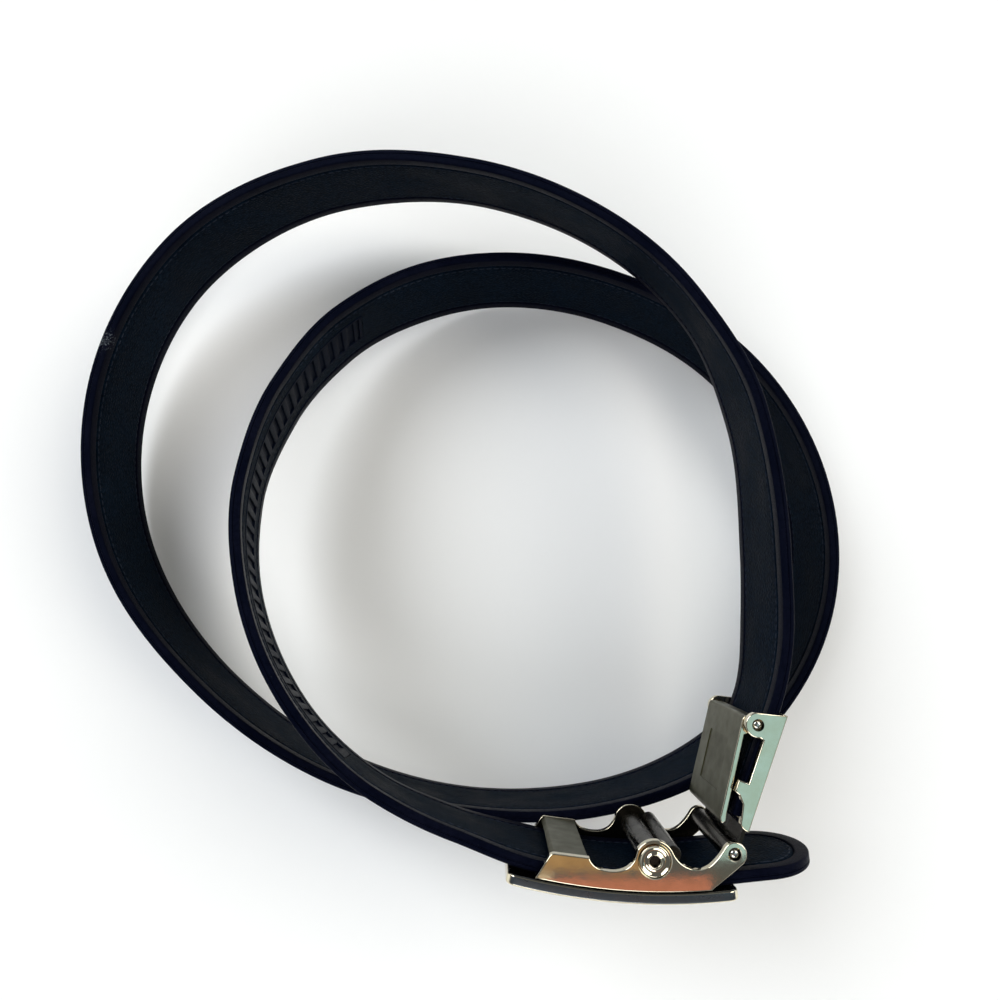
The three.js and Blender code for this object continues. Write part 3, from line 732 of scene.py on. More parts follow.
@dataclass(frozen=True)
class ClampSizes:
    """The clamp, with x from the hinge towards its mouth and y towards the flap."""

    length: float = 40.2
    swing: float = 73.05
    set_back: float = 1.65
    base: float = 1.0
    wall_start: float = 6.8
    boss: float = 3.5
    pin_setback: float = 5.3
    strap_end: float = 9.5
    notch_start: float = 19.1
    notch_length: float = 12.4
    notch_drop: float = 0.5
    post_width: float = 3.8
    post_rise: float = 2.4
    post_foot: float = 2.0
    shoulder_fall: float = 1.2
    shoulder_round: float = 2.4
    eye_wall: float = 0.75
    flap_crown: float = 3.8
    flap_fall: float = 2.85
    flap_lip: float = 1.1
    flap_curl: float = 2.5
    lip_thickness: float = 0.8
    flap_end: float = 6.2
    flap_thickness: float = 1.4
    panel_length: float = 15.0
    panel_width: float = 19.0
    panel_depth: float = 0.3
    panel_edge: float = 0.12
    flap_edge: float = 0.25
    base_edge: float = 0.15
    eye_arc: tuple[float, float] = (-135.0, 36.0)


class RouteRow(NamedTuple):
    """A place on the coil: turn in degrees, reach as a share of the span, lean in degrees."""

    turn: float
    reach: float
    lean: float


@dataclass(frozen=True)
class CoilSizes:
    """The coil's route, followed from the clamp round both loops to the buckle."""

    span: float = 250.0
    hinge_share: tuple[float, float] = (0.282, -0.416)
    fall: tuple[float, float] = (45.0, 210.0)
    rise: tuple[float, float] = (405.0, 612.0)
    rows: tuple[RouteRow, ...] = field(default_factory=lambda: tuple(RouteRow(*row) for row in (
        (-26, 0.391, 3), (-13, 0.362, 2), (15, 0.347, -2), (40, 0.354, -9),
        (65, 0.371, -9), (90, 0.409, -8), (115, 0.467, -3), (140, 0.518, 2),
        (165, 0.525, 4), (190, 0.495, 4), (215, 0.445, 1), (240, 0.418, 0),
        (265, 0.414, -2), (290, 0.439, 0), (315, 0.477, 2), (340, 0.487, 3),
        (365, 0.460, 1), (390, 0.407, 3), (415, 0.357, 6), (440, 0.324, 7),
        (465, 0.304, 8), (490, 0.293, 5), (515, 0.288, 0), (540, 0.296, -5),
        (565, 0.314, -8), (590, 0.345, -8), (612, 0.380, -6), (626, 0.403, -4))))


def turned(point: np.ndarray, degrees: float) -> np.ndarray:
    """Turns a flat point about the origin."""
    a = math.radians(degrees)
    return np.array([point[0] * math.cos(a) - point[1] * math.sin(a),
                     point[0] * math.sin(a) + point[1] * math.cos(a)])


def heading(degrees: float) -> np.ndarray:
    """A flat unit vector."""
    return turned(np.array([1.0, 0.0]), degrees)


class Layout:
    """Places that follow from the sizes of the strap, buckle and clamp."""

    def __init__(self, strap: StrapSizes, buckle: BuckleSizes, clamp: ClampSizes, coil: CoilSizes) -> None:
        """Works the places out.

        Args:
            strap: the strap's sizes.
            buckle: the buckle's sizes.
            clamp: the clamp's sizes.
            coil: the coil's route.
        """
        self.strap, self.buckle, self.clamp, self.coil = strap, buckle, clamp, coil
        self.inner_width = strap.width + 2 * strap.side_play
        self.buckle_width = self.inner_width + 2 * buckle.wall
        self.inside = self.inner_width - 2 * SEAT_GAP
        self.upper_lift = strap.width + SEAT_GAP + (self.buckle_width - strap.width) / 2
        self.plate_back = buckle.plate_radius - buckle.plate_thickness
        self.crown_along = buckle.plate_length / 2 - buckle.plate_lead
        self.bow_centre = buckle.plate_radius - buckle.crown_depth
        self.seat_radius = self.plate_back - SEAT_GAP
        self.strap_radius = self.seat_radius - strap.thickness / 2
        self.lining_level = self.bow_centre - self.seat_radius + strap.thickness
        self.pawl_at = np.array([buckle.pawl_along, self.lining_level + buckle.pawl_rise])
        self.hinge_at = np.array([buckle.hinge_along, self.lining_level + buckle.hinge_rise])
        self.clamp_low = clamp.base + SEAT_GAP - clamp.set_back
        self.clamp_top = self.clamp_low + strap.thickness
        self.eye = buckle.pin_radius + clamp.eye_wall
        self.clamp_pin = np.array([clamp.length - clamp.pin_setback, self.clamp_top + SEAT_GAP + self.eye])
        self.hinge_world = np.array(coil.hinge_share) * coil.span
        self.clamp_heading = buckle.heading + clamp.swing
        self.arc_end = buckle.plate_length - buckle.plate_lead - strap.tip_release
        axis = next(joint for joint in frame["joints"] if joint["name"] == "pawl_release")["pos_m"]
        self.shift = np.array(axis[:2]) / MM - self.in_buckle(self.pawl_at)
        self.mid_level = axis[2] / MM

    def in_buckle(self, point: np.ndarray) -> np.ndarray:
        """Turns a point of the buckle into the coil's plan."""
        return turned(point - self.hinge_at, self.buckle.heading) + self.hinge_world

    def in_clamp(self, point: np.ndarray) -> np.ndarray:
        """Turns a point of the clamp into the coil's plan."""
        return turned(point, self.clamp_heading) + self.hinge_world

    def on_plate(self, along: float, radius: float | None = None) -> float:
        """Height of an arc laid against the bowed plate, at a distance along it."""
        offset = along - self.crown_along
        return self.bow_centre - math.sqrt((radius or self.strap_radius) ** 2 - offset * offset)

    def _matrix(self, corner: np.ndarray, degrees: float) -> Matrix:
        """Places a mesh at half the buckle's height, turned about z."""
        return (Matrix.Translation((*(corner + self.shift), self.mid_level))
                @ Matrix.Rotation(math.radians(degrees), 4, "Z"))

    def buckle_matrix(self) -> Matrix:
        """Places a mesh from the buckle's axes."""
        return self._matrix(self.in_buckle(np.zeros(2)), self.buckle.heading)

    def clamp_matrix(self) -> Matrix:
        """Places a mesh from the clamp's axes."""
        return self._matrix(self.hinge_world, self.clamp_heading)


class StrapRoute:
    """The line that the strap follows, and the directions of its section."""

    SPANS = 64
    PASSES = 60
    SPARE = 5.0

    def __init__(self, layout: Layout) -> None:
        """Lays the route.

        Args:
            layout: the places that it runs through.
        """
        self.layout = layout
        plan = self._plan()
        steps = np.linalg.norm(np.diff(plan, axis=0), axis=1)
        lengths = np.concatenate([[0.0], np.cumsum(steps)])
        self.total = float(lengths[-1])
        before = plan[0] - (plan[1] - plan[0]) / steps[0] * self.SPARE
        after = plan[-1] + (plan[-1] - plan[-2]) / steps[-1] * self.SPARE
        self._plan_points = np.vstack([before, plan, after])
        self._lengths = np.concatenate([[-self.SPARE], lengths, [self.total + self.SPARE]])
        self._turns = self._turns_of(self._plan_points)
        mouth = layout.in_clamp(np.array([layout.clamp.length, 0.0]))
        entry = layout.in_buckle(np.zeros(2))
        self._lean_turns = np.array([
            self._turns_of(mouth[None])[0], *(row.turn for row in layout.coil.rows),
            self._turns_of(entry[None])[0] + 720.0])
        self._leans = np.array([0.0, *(row.lean for row in layout.coil.rows), 0.0])

    @staticmethod
    def _turns_of(points: np.ndarray) -> np.ndarray:
        """Angles of points about the coil's centre, in degrees, without jumps."""
        return np.degrees(np.unwrap(np.arctan2(points[:, 1], points[:, 0])))

    def _plan(self) -> np.ndarray:
        """The whole route seen from above: clamp, loops, buckle and tip."""
        at, strap, buckle = self.layout, self.layout.strap, self.layout.buckle
        middle = at.clamp_low + strap.thickness / 2
        cut_end = at.in_clamp(np.array([at.clamp.strap_end, middle]))
        mouth = at.in_clamp(np.array([at.clamp.length, middle]))
        coil = [heading(row.turn) * row.reach * at.coil.span for row in at.coil.rows]
        meet = buckle.bridge_setback + 2 * buckle.bridge_length
        slope = math.degrees(math.asin((meet - at.crown_along) / at.strap_radius)) + buckle.heading
        entry = at.in_buckle(np.array([meet, at.on_plate(meet)]))
        loops = self._smooth([mouth, *coil, entry], heading(at.clamp_heading), heading(slope))
        arc = [at.in_buckle(np.array([along, at.on_plate(along)]))
               for along in np.linspace(meet, at.arc_end, 40)]
        tip_slope = math.degrees(math.asin((at.arc_end - at.crown_along) / at.strap_radius))
        past = buckle.plate_length - buckle.plate_lead + strap.tip_reach - at.arc_end
        tip = [arc[-1] + along * heading(tip_slope + buckle.heading) for along in (past / 2, past)]
        return np.array([cut_end, *loops, *arc, *tip])

    def _smooth(self, points: list[np.ndarray], start: np.ndarray, end: np.ndarray) -> list[np.ndarray]:
        """A smooth curve through points, with its direction given at both ends.

        Args:
            points: the points.
            start: unit direction at the first point.
            end: unit direction at the last point.

        Returns:
            Points on the curve, without the last one.
        """
        spans = [float(np.linalg.norm(b - a)) for a, b in zip(points, points[1:])]
        slopes = [(b - a) / np.linalg.norm(b - a)
                  for a, b in zip([points[0], *points], [*points[1:], points[-1]])]
        slopes[0], slopes[-1] = start, end
        for _ in range(self.PASSES):
            for i in range(1, len(points) - 1):
                a, b = spans[i - 1], spans[i]
                pull = (points[i] - points[i - 1]) * 3 * b / a + (points[i + 1] - points[i]) * 3 * a / b
                slopes[i] = (pull - slopes[i - 1] * b - slopes[i + 1] * a) / (2 * (a + b))
        curve = []
        for i, length in enumerate(spans):
            for t in np.arange(self.SPANS) / self.SPANS:
                rest = 1 - t
                curve.append(points[i] * (1 + 2 * t) * rest * rest + slopes[i] * length * t * rest * rest
                             + points[i + 1] * t * t * (3 - 2 * t) - slopes[i + 1] * length * t * t * rest)
        return curve

    @staticmethod
    def _ease(value: np.ndarray, start: float, end: float) -> np.ndarray:
        """Smooth step from 0 at start to 1 at end."""
        t = np.clip((value - start) / (end - start), 0.0, 1.0)
        return t * t * (3 - 2 * t)

    def _at(self, along: np.ndarray) -> tuple[np.ndarray, np.ndarray]:
        """Places of the strap's lower edge line and leans, at distances along it."""
        coil = self.layout.coil
        x = np.interp(along, self._lengths, self._plan_points[:, 0])
        y = np.interp(along, self._lengths, self._plan_points[:, 1])
        turn = np.interp(along, self._lengths, self._turns)
        lift = self.layout.upper_lift * (1 - self._ease(turn, *coil.fall) + self._ease(turn, *coil.rise))
        index = np.clip(np.searchsorted(self._lean_turns, turn, side="right"), 1, len(self._leans) - 1)
        before, after = self._lean_turns[index - 1], self._lean_turns[index]
        t = np.clip((turn - before) / (after - before), 0.0, 1.0)
        share = t * t * (3 - 2 * t)
        lean = self._leans[index - 1] * (1 - share) + self._leans[index] * share
        return np.stack([x, y, lift], axis=1), np.radians(lean)

    def frames(self, along: np.ndarray) -> tuple[np.ndarray, np.ndarray, np.ndarray]:
        """Section frames along the strap.

        Args:
            along: distances from the cut end.

        Returns:
            Middle places, outward directions and upward directions.
        """
        strap = self.layout.strap
        place, lean = self._at(along)
        forward = self._at(along + ROUTE_STEP / 2)[0] - self._at(along - ROUTE_STEP / 2)[0]
        forward /= np.linalg.norm(forward, axis=1, keepdims=True)
        across = np.cross(forward, (0.0, 0.0, 1.0))
        across /= np.linalg.norm(across, axis=1, keepdims=True)
        up = np.cross(across, forward)
        cos, sin = np.cos(lean)[:, None], np.sin(lean)[:, None]
        lean_up = up * cos + across * sin
        lean_across = across * cos - up * sin
        place[:, 2] += strap.width / 2 * lean_up[:, 2] + strap.thickness / 2 * np.abs(lean_across[:, 2])
        place[:, :2] += self.layout.shift
        return place, lean_across, lean_up

    def top_at(self, turn: float) -> tuple[float, float, float]:
        """The place on the strap's upper edge at a turn in degrees."""
        along = np.interp([turn], self._turns, self._lengths)
        place, _, up = self.frames(along)
        return tuple(float(part) for part in (place + up * self.layout.strap.width / 2)[0])

    def bend(self, bm: bmesh.types.BMesh) -> bmesh.types.BMesh:
        """Bends a flat piece along the strap, and keeps its flat place as a UV map.

        Args:
            bm: the piece, with x along the strap, y up its width and z outward.

        Returns:
            The same mesh, bent.
        """
        flat = bm.loops.layers.uv.new("flat")
        for face in bm.faces:
            for loop in face.loops:
                loop[flat].uv = loop.vert.co.x * MM, loop.vert.co.y * MM
        spots = np.array([vert.co for vert in bm.verts])
        place, across, up = self.frames(spots[:, 0])
        bent = place + across * spots[:, 2:3] + up * spots[:, 1:2]
        for vert, spot in zip(bm.verts, bent):
            vert.co = spot
        bm.normal_update()
        return bm


class Strap:
    """The strap: leather, lining, ratchet track and stitches."""

    TIP_SPANS = 36
    STITCH_ROUND = 8
    STITCH_RINGS = 6

    def __init__(self, layout: Layout, route: StrapRoute, track: TrackSizes, finishes: Finishes) -> None:
        """Keeps what the pieces are made from.

        Args:
            layout: places and sizes.
            route: what the strap follows.
            track: the track's sizes.
            finishes: the materials.
        """
        self.sizes, self.route, self.track, self.finishes = layout.strap, route, track, finishes
        self.end = route.total
        self.half = self.sizes.thickness / 2
        self.face = self.sizes.lining_inset - self.half
        buckle = layout.buckle
        self.track_end = self.end - self.sizes.tip_reach - buckle.plate_length - track.to_buckle
        self.track_start = self.track_end - track.teeth * track.pitch

    def _lay(self, half_section: Section) -> bmesh.types.BMesh:
        """Lays a strip flat, with a rounded tip.

        Args:
            half_section: (y, z) points of the section's upper half, from axis to axis.

        Returns:
            The strip, open at its cut end.
        """
        bm = bmesh.new()
        upper = [Vector((0, y, z)) for y, z in half_section]
        lower = [Vector((0, -y, z)) for y, z in reversed(half_section[1:-1])]
        straight = self.end - self.sizes.tip_round
        steps = round(straight / ROUTE_STEP)
        section = chain(bm, upper + lower, closed=True)
        coarse = round(math.sqrt(steps))
        sweep(bm, section, (straight, 0, 0), coarse)
        lengthwise = [edge for edge in bm.edges if edge.calc_length() > straight / coarse - ROUTE_STEP]
        bmesh.ops.subdivide_edges(bm, edges=lengthwise, cuts=coarse - 1, use_grid_fill=True)
        turn = chain(bm, [Vector((straight, y, z)) for y, z in half_section], closed=False)
        bmesh.ops.spin(bm, geom=turn, cent=(straight, 0, 0), axis=(0, 0, 1), angle=-math.pi,
                       steps=self.TIP_SPANS, use_merge=False, use_duplicate=False)
        pinch = self.sizes.width / 2 - self.sizes.tip_round
        for vert in bm.verts:
            past = vert.co.x - straight
            reach = math.hypot(past, vert.co.y)
            if past > 1e-6:
                full = self.sizes.width / 2 - self.sizes.border
                vert.co.x = straight + past / reach * (reach - pinch * min(1.0, reach / full))
        bmesh.ops.remove_doubles(bm, verts=bm.verts, dist=MERGE_REACH)
        rim = [edge for edge in bm.edges if edge.is_boundary]
        bmesh.ops.contextual_create(bm, geom=rim)
        return tidy(bm)

    def leather(self) -> bpy.types.Object:
        """Makes the outer leather, turned over both edges round the lining's hollow."""
        s = self.sizes
        w = s.width / 2
        floor = s.lining_thickness + s.lining_inset + SEAT_GAP - self.half
        inner = w - s.border
        section = [(0.0, self.half)]
        section += round_corner((w - s.outer_round, self.half - s.outer_round), s.outer_round, 90, 0, 6)
        section += [(w, s.seam_rise + s.seam_width / 2), (w - s.seam_depth, s.seam_rise),
                    (w, s.seam_rise - s.seam_width / 2)]
        section += round_corner((w - s.inner_round, s.inner_round - self.half), s.inner_round, 0, -90, 5)
        section += round_corner((inner + s.border_round, s.border_round - self.half), s.border_round,
                                -90, -180, 4)
        section += [(inner, floor), (0.0, floor)]
        return put(self.route.bend(self._lay(section)), "leather_shell", Body.BELT, Slot.LEATHER,
                   self.finishes.leather, replaces="strap_leather")

    def lining(self) -> bpy.types.Object:
        """Makes the lining, with a slot for the track."""
        s = self.sizes
        w = s.width / 2 - s.border - SEAT_GAP
        back = self.face + s.lining_thickness
        section = [(0.0, back), (w, back)]
        section += round_corner((w - s.lining_round, self.face + s.lining_round), s.lining_round, 0, -90, 4)
        section.append((0.0, self.face))
        bm = self._lay(section)
        side = self.track.width / 2 + SEAT_GAP
        ends = (self.track_start - SEAT_GAP, self.track_end + SEAT_GAP)
        cuts = [((x, 0, 0), (1, 0, 0)) for x in ends] + [((0, y, 0), (0, 1, 0)) for y in (-side, side)]
        for spot, normal in cuts:
            score(bm, spot, normal)
        inside = [face for face in bm.faces if abs(face.calc_center_median().y) < side
                  and ends[0] < face.calc_center_median().x < ends[1]]
        bmesh.ops.delete(bm, geom=inside, context="FACES")
        bmesh.ops.bridge_loops(bm, edges=[edge for edge in bm.edges if edge.is_boundary])
        return put(self.route.bend(tidy(bm)), "lining_panel", Body.BELT, Slot.LINING,
                   self.finishes.lining, replaces="strap_lining")

    def _bar(self, bm: bmesh.types.BMesh, section: Section, start: float, end: float) -> None:
        """Adds a bar along the strap, closed at both ends.

        Args:
            bm: the mesh that it joins.
            section: (y, z) corners in order.
            start: where it starts along the strap.
            end: where it ends.
        """
        steps = max(1, round((end - start) / ROUTE_STEP))
        capped(bm, [Vector((start, y, z)) for y, z in section], (end - start, 0, 0), steps)

    def ratchet(self) -> bpy.types.Object:
        """Makes the toothed track between its raised rails."""
        t = self.track
        w = t.width / 2
        back = self.face + self.sizes.lining_thickness - SEAT_GAP / 2
        low = back - t.base
        crest = low - t.height
        soft = t.soft
        bm = bmesh.new()
        self._bar(bm, [(-w, back), (w, back), (w, low), (-w, low)], self.track_start, self.track_end)
        rail = [(w, low + soft), (w, crest + soft), (w - soft, crest), (w - t.rail + soft, crest),
                (w - t.rail, crest + soft), (w - t.rail, low + soft)]
        self._bar(bm, rail, self.track_start, self.track_end)
        self._bar(bm, [(-y, z) for y, z in rail], self.track_start, self.track_end)
        across = [(-w + soft, low + soft), (-w + soft, crest + soft / 2), (w - soft, crest + soft / 2),
                  (w - soft, low + soft)]
        for start in (self.track_start, self.track_start + 2 * t.end_bar, self.track_end - t.end_bar):
            self._bar(bm, across, start, start + t.end_bar)
        reach = w - t.rail / 2
        for number in range(1, t.teeth):
            start = self.track_start + number * t.pitch
            side = [Vector((start + along * t.pitch, -reach, low - rise * t.height * t.tooth_share))
                    for along, rise in t.tooth]
            side = [Vector((side[-1].x, -reach, low + soft)), Vector((side[0].x, -reach, low + soft)), *side]
            capped(bm, side, (0, 2 * reach, 0))
        bmesh.ops.recalc_face_normals(bm, faces=bm.faces)
        return put(self.route.bend(bm), "track_strip", Body.BELT, Slot.TRACK, self.finishes.track,
                   replaces="ratchet_track", smooth_angle=25.0)

    def _stitch(self, bm: bmesh.types.BMesh, place: Matrix) -> None:
        """Adds one bead of thread with its poles along the seam."""
        bmesh.ops.create_uvsphere(bm, u_segments=self.STITCH_ROUND, v_segments=self.STITCH_RINGS, radius=1.0,
                                  matrix=place @ Matrix.Rotation(math.pi / 2, 4, "Y"))

    def stitches(self) -> bpy.types.Object:
        """Makes the stitches along both sides of the lining and round its tip."""
        s = self.sizes
        row = s.width / 2 - s.border - SEAT_GAP - s.stitch_margin
        straight = self.end - s.tip_round
        doublings = math.ceil(math.log2(straight / s.stitch_pitch))
        count = 2 ** doublings
        pitch = straight / count
        pinch = s.width / 2 - s.tip_round
        arc = int(math.pi * (row - pinch / 2) / pitch)
        bm = bmesh.new()
        size = Matrix.Diagonal((s.stitch_share * pitch, s.stitch_width / 2, s.stitch_width / 2, 1.0))
        for side in (-1, 1):
            self._stitch(bm, Matrix.Translation((pitch / 2, side * row, self.face)) @ size)
        for number in range(doublings):
            grown = bmesh.ops.duplicate(bm, geom=[*bm.verts, *bm.edges, *bm.faces])["geom"]
            bmesh.ops.translate(bm, vec=(pitch * 2 ** number, 0, 0),
                                verts=[part for part in grown if isinstance(part, bmesh.types.BMVert)])
        for i in range(arc + 1):
            angle = math.pi * i / arc - math.pi / 2
            spot = (straight + (row - pinch) * math.cos(angle), row * math.sin(angle), self.face)
            self._stitch(bm, Matrix.Translation(spot) @ Matrix.Rotation(angle + math.pi / 2, 4, "Z") @ size)
        return put(self.route.bend(bm), "lining_stitches", Body.BELT, Slot.LINING, self.finishes.thread,
                   smooth_angle=80.0)

    def build(self) -> None:
        """Makes the strap's pieces."""
        self.leather()
        self.lining()
        self.ratchet()
        self.stitches()


class Fitting:
    """What the buckle and the clamp share: their width, their place and their domed pins."""

    def __init__(self, layout: Layout, sizes: BuckleSizes | ClampSizes, place: Matrix,
                 finishes: Finishes) -> None:
        """Keeps what the pieces are made from.

        Args:
            layout: places and sizes.
            sizes: the fitting's own sizes.
            place: turns its axes into the belt's.
            finishes: the materials.
        """
        self.layout, self.sizes, self.place, self.finishes = layout, sizes, place, finishes
        self.outer = layout.buckle_width / 2
        self.inner = layout.inner_width / 2

    def _put(self, bm: bmesh.types.BMesh, name: str, node: str, *materials: bpy.types.Material,
             body: Body = Body.BELT, slot: Slot = Slot.GOLD, even: bool = True) -> bpy.types.Object:
        """Turns a mesh from the fitting's axes into the belt's and makes a finished piece of it.

        Args:
            bm: the mesh.
            name: the piece's name.
            node: the CAD node that it stands for.
            materials: its materials, by the faces' material index.
            body: what it rides on.
            slot: the record's material slot.
            even: whether large flat faces keep their own normals.

        Returns:
            The new object.
        """
        bmesh.ops.transform(bm, matrix=self.place, verts=bm.verts)
        return put(bm, name, body, slot, *materials, replaces=node, even=even)

    def _domed_pin(self, at: np.ndarray, name: str, node: str) -> bpy.types.Object:
        """Makes a pin along z with domed ends, just inside the side walls."""
        buckle = self.layout.buckle
        radius, shoulder = buckle.pin_radius, buckle.pin_dome
        end = self.outer - self.layout.strap.side_play
        dome = bowed((radius, end - shoulder), (radius, end), (0.0, end), 8)
        bm = spindle([(radius, 0.0), (radius, end - shoulder), *dome], at, 32)
        return self._put(bm, name, node, self.finishes.pin, slot=Slot.DARK, even=False)


class Buckle(Fitting):
    """The buckle: plate, frame, axle, pawl and hinge pin."""

    def __init__(self, layout: Layout, finishes: Finishes) -> None:
        """Takes its sizes and place from the layout."""
        super().__init__(layout, layout.buckle, layout.buckle_matrix(), finishes)

    def plate(self) -> bpy.types.Object:
        """Makes the bowed plate: a dark slab with a gold rim round its front."""
        at, s = self.layout, self.sizes
        half, z, r, rim = s.plate_length / 2, self.outer, s.plate_corner, s.plate_rim
        left, right = at.crown_along - half, at.crown_along + half
        corners = ((left + r, r - z, 180), (right - r, r - z, 270),
                   (right - r, z - r, 0), (left + r, z - r, 90))
        face = [spot for x, y, turn in corners for spot in round_corner((x, y), r, turn, turn + 90, 6)]
        bm = prism(face, 0.0, s.plate_thickness, s.plate_round, 5)
        for cut in np.arange(left + ROUTE_STEP, right, ROUTE_STEP):
            score(bm, (cut, 0, 0), (1, 0, 0))
        paint(bm, 1, lambda mid, normal: mid.z < RIM_DEPTH or abs(normal.z) < EDGE_SHARE)
        for vert in bm.verts:
            angle = (vert.co.x - at.crown_along) / s.plate_radius
            radius = s.plate_radius - vert.co.z
            vert.co = (at.crown_along + radius * math.sin(angle),
                       at.bow_centre - radius * math.cos(angle), vert.co.y)
        bmesh.ops.recalc_face_normals(bm, faces=bm.faces)
        paint(bm, 2, lambda mid, normal: abs(normal.z) > SQUARE_ON)
        paint(bm, 0, lambda mid, normal: abs(mid.z) < z - rim
              and left + rim < mid.x < right - rim)
        return self._put(bm, "front_plate", "buckle_plate", self.finishes.gunmetal, self.finishes.gold,
                         self.finishes.slate)

    def _wall_outline(self) -> Section:
        """Outline of a scalloped side wall."""
        at, s = self.layout, self.sizes
        top = at.lining_level + s.bridge_rise + s.bridge_thickness
        bridge_end = s.bridge_setback + s.bridge_length
        dip = at.lining_level + s.scallop_rise
        pawl_side = s.pawl_along - s.pawl_boss
        hinge_side = s.hinge_along - s.hinge_boss
        saddle = ((s.pawl_along + s.pawl_boss + hinge_side) / 2, (at.pawl_at[1] + dip) / 2 + s.saddle_rise)
        blend = 180 - s.boss_blend
        outline = [(0.0, at.on_plate(0.0, at.seat_radius)),
                   (s.bridge_setback - s.wall_corner / 2, top - s.wall_corner)]
        outline += bowed(outline[-1], (s.bridge_setback, top), (s.bridge_setback + s.wall_corner, top), 4)
        outline.append((bridge_end, top - s.bridge_fall))
        bottom = ((bridge_end + pawl_side) / 2, dip)
        outline += bowed(outline[-1], (bridge_end + s.scallop_turn, dip), bottom, 14)
        boss = round_corner(tuple(at.pawl_at), s.pawl_boss, blend, s.boss_blend, 26)
        outline += bowed(outline[-1], (pawl_side, dip), boss[0], 14)[:-1] + boss
        lean = math.tan(math.radians(s.boss_blend))
        meet = boss[-1][0] + (boss[-1][1] - saddle[1]) * lean
        outline += bowed(boss[-1], (meet, saddle[1]), saddle, 12)
        hinge = round_corner(tuple(at.hinge_at), s.hinge_boss, blend, -s.hinge_foot, 24)
        meet = hinge[0][0] - (hinge[0][1] - saddle[1]) * lean
        outline += bowed(saddle, (meet, saddle[1]), hinge[0], 12)[:-1] + hinge
        seat = [(along, at.on_plate(along, at.seat_radius)) for along in np.linspace(s.wall_length, 0.0, 20)]
        return outline + seat[:-1]

    def _bore(self, at: np.ndarray, radius: float, sink: float = 0.0,
              sink_depth: float = 0.0) -> bmesh.types.BMesh:
        """A cutter through both walls, flared where it meets their faces.

        Args:
            at: its place in the buckle's axes.
            radius: the hole's radius.
            sink: radius of a sunk ring at the outer faces, or 0.
            sink_depth: how deep the sunk ring goes.

        Returns:
            The cutter.
        """
        flare = self.sizes.bore_flare
        mouth = sink or radius
        half = [(radius, 0.0), (radius, self.inner)]
        if sink:
            half += [(radius, self.outer - sink_depth - flare), (radius + flare, self.outer - sink_depth),
                     (sink, self.outer - sink_depth)]
        half += [(mouth, self.outer - flare), (mouth + flare, self.outer), (mouth + flare, self.outer + 1),
                 (0.0, self.outer + 1)]
        return spindle(half, at)

    def frame(self) -> bpy.types.Object:
        """Makes the die-cast frame: two walls, their bores and the bridge."""
        at, s = self.layout, self.sizes
        walls = [prism(self._wall_outline(), low, low + s.wall, s.edge) for low in (-self.outer, self.inner)]
        top = at.lining_level + s.bridge_rise + s.bridge_thickness - s.bridge_inset
        under = at.lining_level + s.bridge_rise
        end = s.bridge_setback + s.bridge_length - s.bridge_inset
        section = [(s.bridge_setback, under), (end, under - s.bridge_fall), (end, top - s.bridge_fall),
                   (s.bridge_setback + s.wall_corner, top), (s.bridge_setback, top - s.wall_corner)]
        reach = self.inner + s.wall / 2
        bridge = prism(softened(section, s.bridge_round), -reach, reach)
        bm = carve(walls[0], [walls[1], bridge], "UNION")
        bm = carve(bm, [
            self._bore(at.hinge_at, s.pin_hole),
            self._bore(at.pawl_at, s.axle_radius + SEAT_GAP, s.axle_head + SEAT_GAP, s.head_depth + SEAT_GAP),
        ], "DIFFERENCE")
        paint(bm, 1, lambda mid, normal: abs(mid.z) < self.inner - WALL_SKIN)
        paint(bm, 2, lambda mid, normal: abs(mid.z) < self.inner + ON_FACE
              and abs(mid.z) > self.inner - ON_FACE and abs(normal.z) > TURNED)
        return self._put(bm, "frame_casting", "buckle_frame", self.finishes.gold, self.finishes.satin,
                         self.finishes.cast)

    def axle(self) -> bpy.types.Object:
        """Makes the axle with a dished head outside each wall."""
        s = self.sizes
        end = self.outer
        head, shaft = s.axle_head, s.axle_radius
        half = [(shaft, 0.0), (shaft, end - s.head_depth), (head, end - s.head_depth)]
        half += round_corner((head - s.head_round, end - s.head_round), s.head_round, 0, 90, 4)
        half += bowed(half[-1], ((head + shaft) / 2, end - s.head_dish), (shaft + 0.45, end - 0.05), 8)
        half += round_corner((shaft + s.head_round, end - s.head_lip), s.head_lip, 90, 180, 4)
        half += [(shaft - 0.15, end - s.head_cup), (0.0, end - s.head_cup)]
        bm = spindle(half, self.layout.pawl_at)
        paint(bm, 1, lambda mid, normal: math.hypot(mid.x - self.layout.pawl_at[0],
                                          mid.y - self.layout.pawl_at[1]) < shaft + 0.02)
        return self._put(bm, "axle_rivet", "pawl_axle", self.finishes.gold, self.finishes.cast)

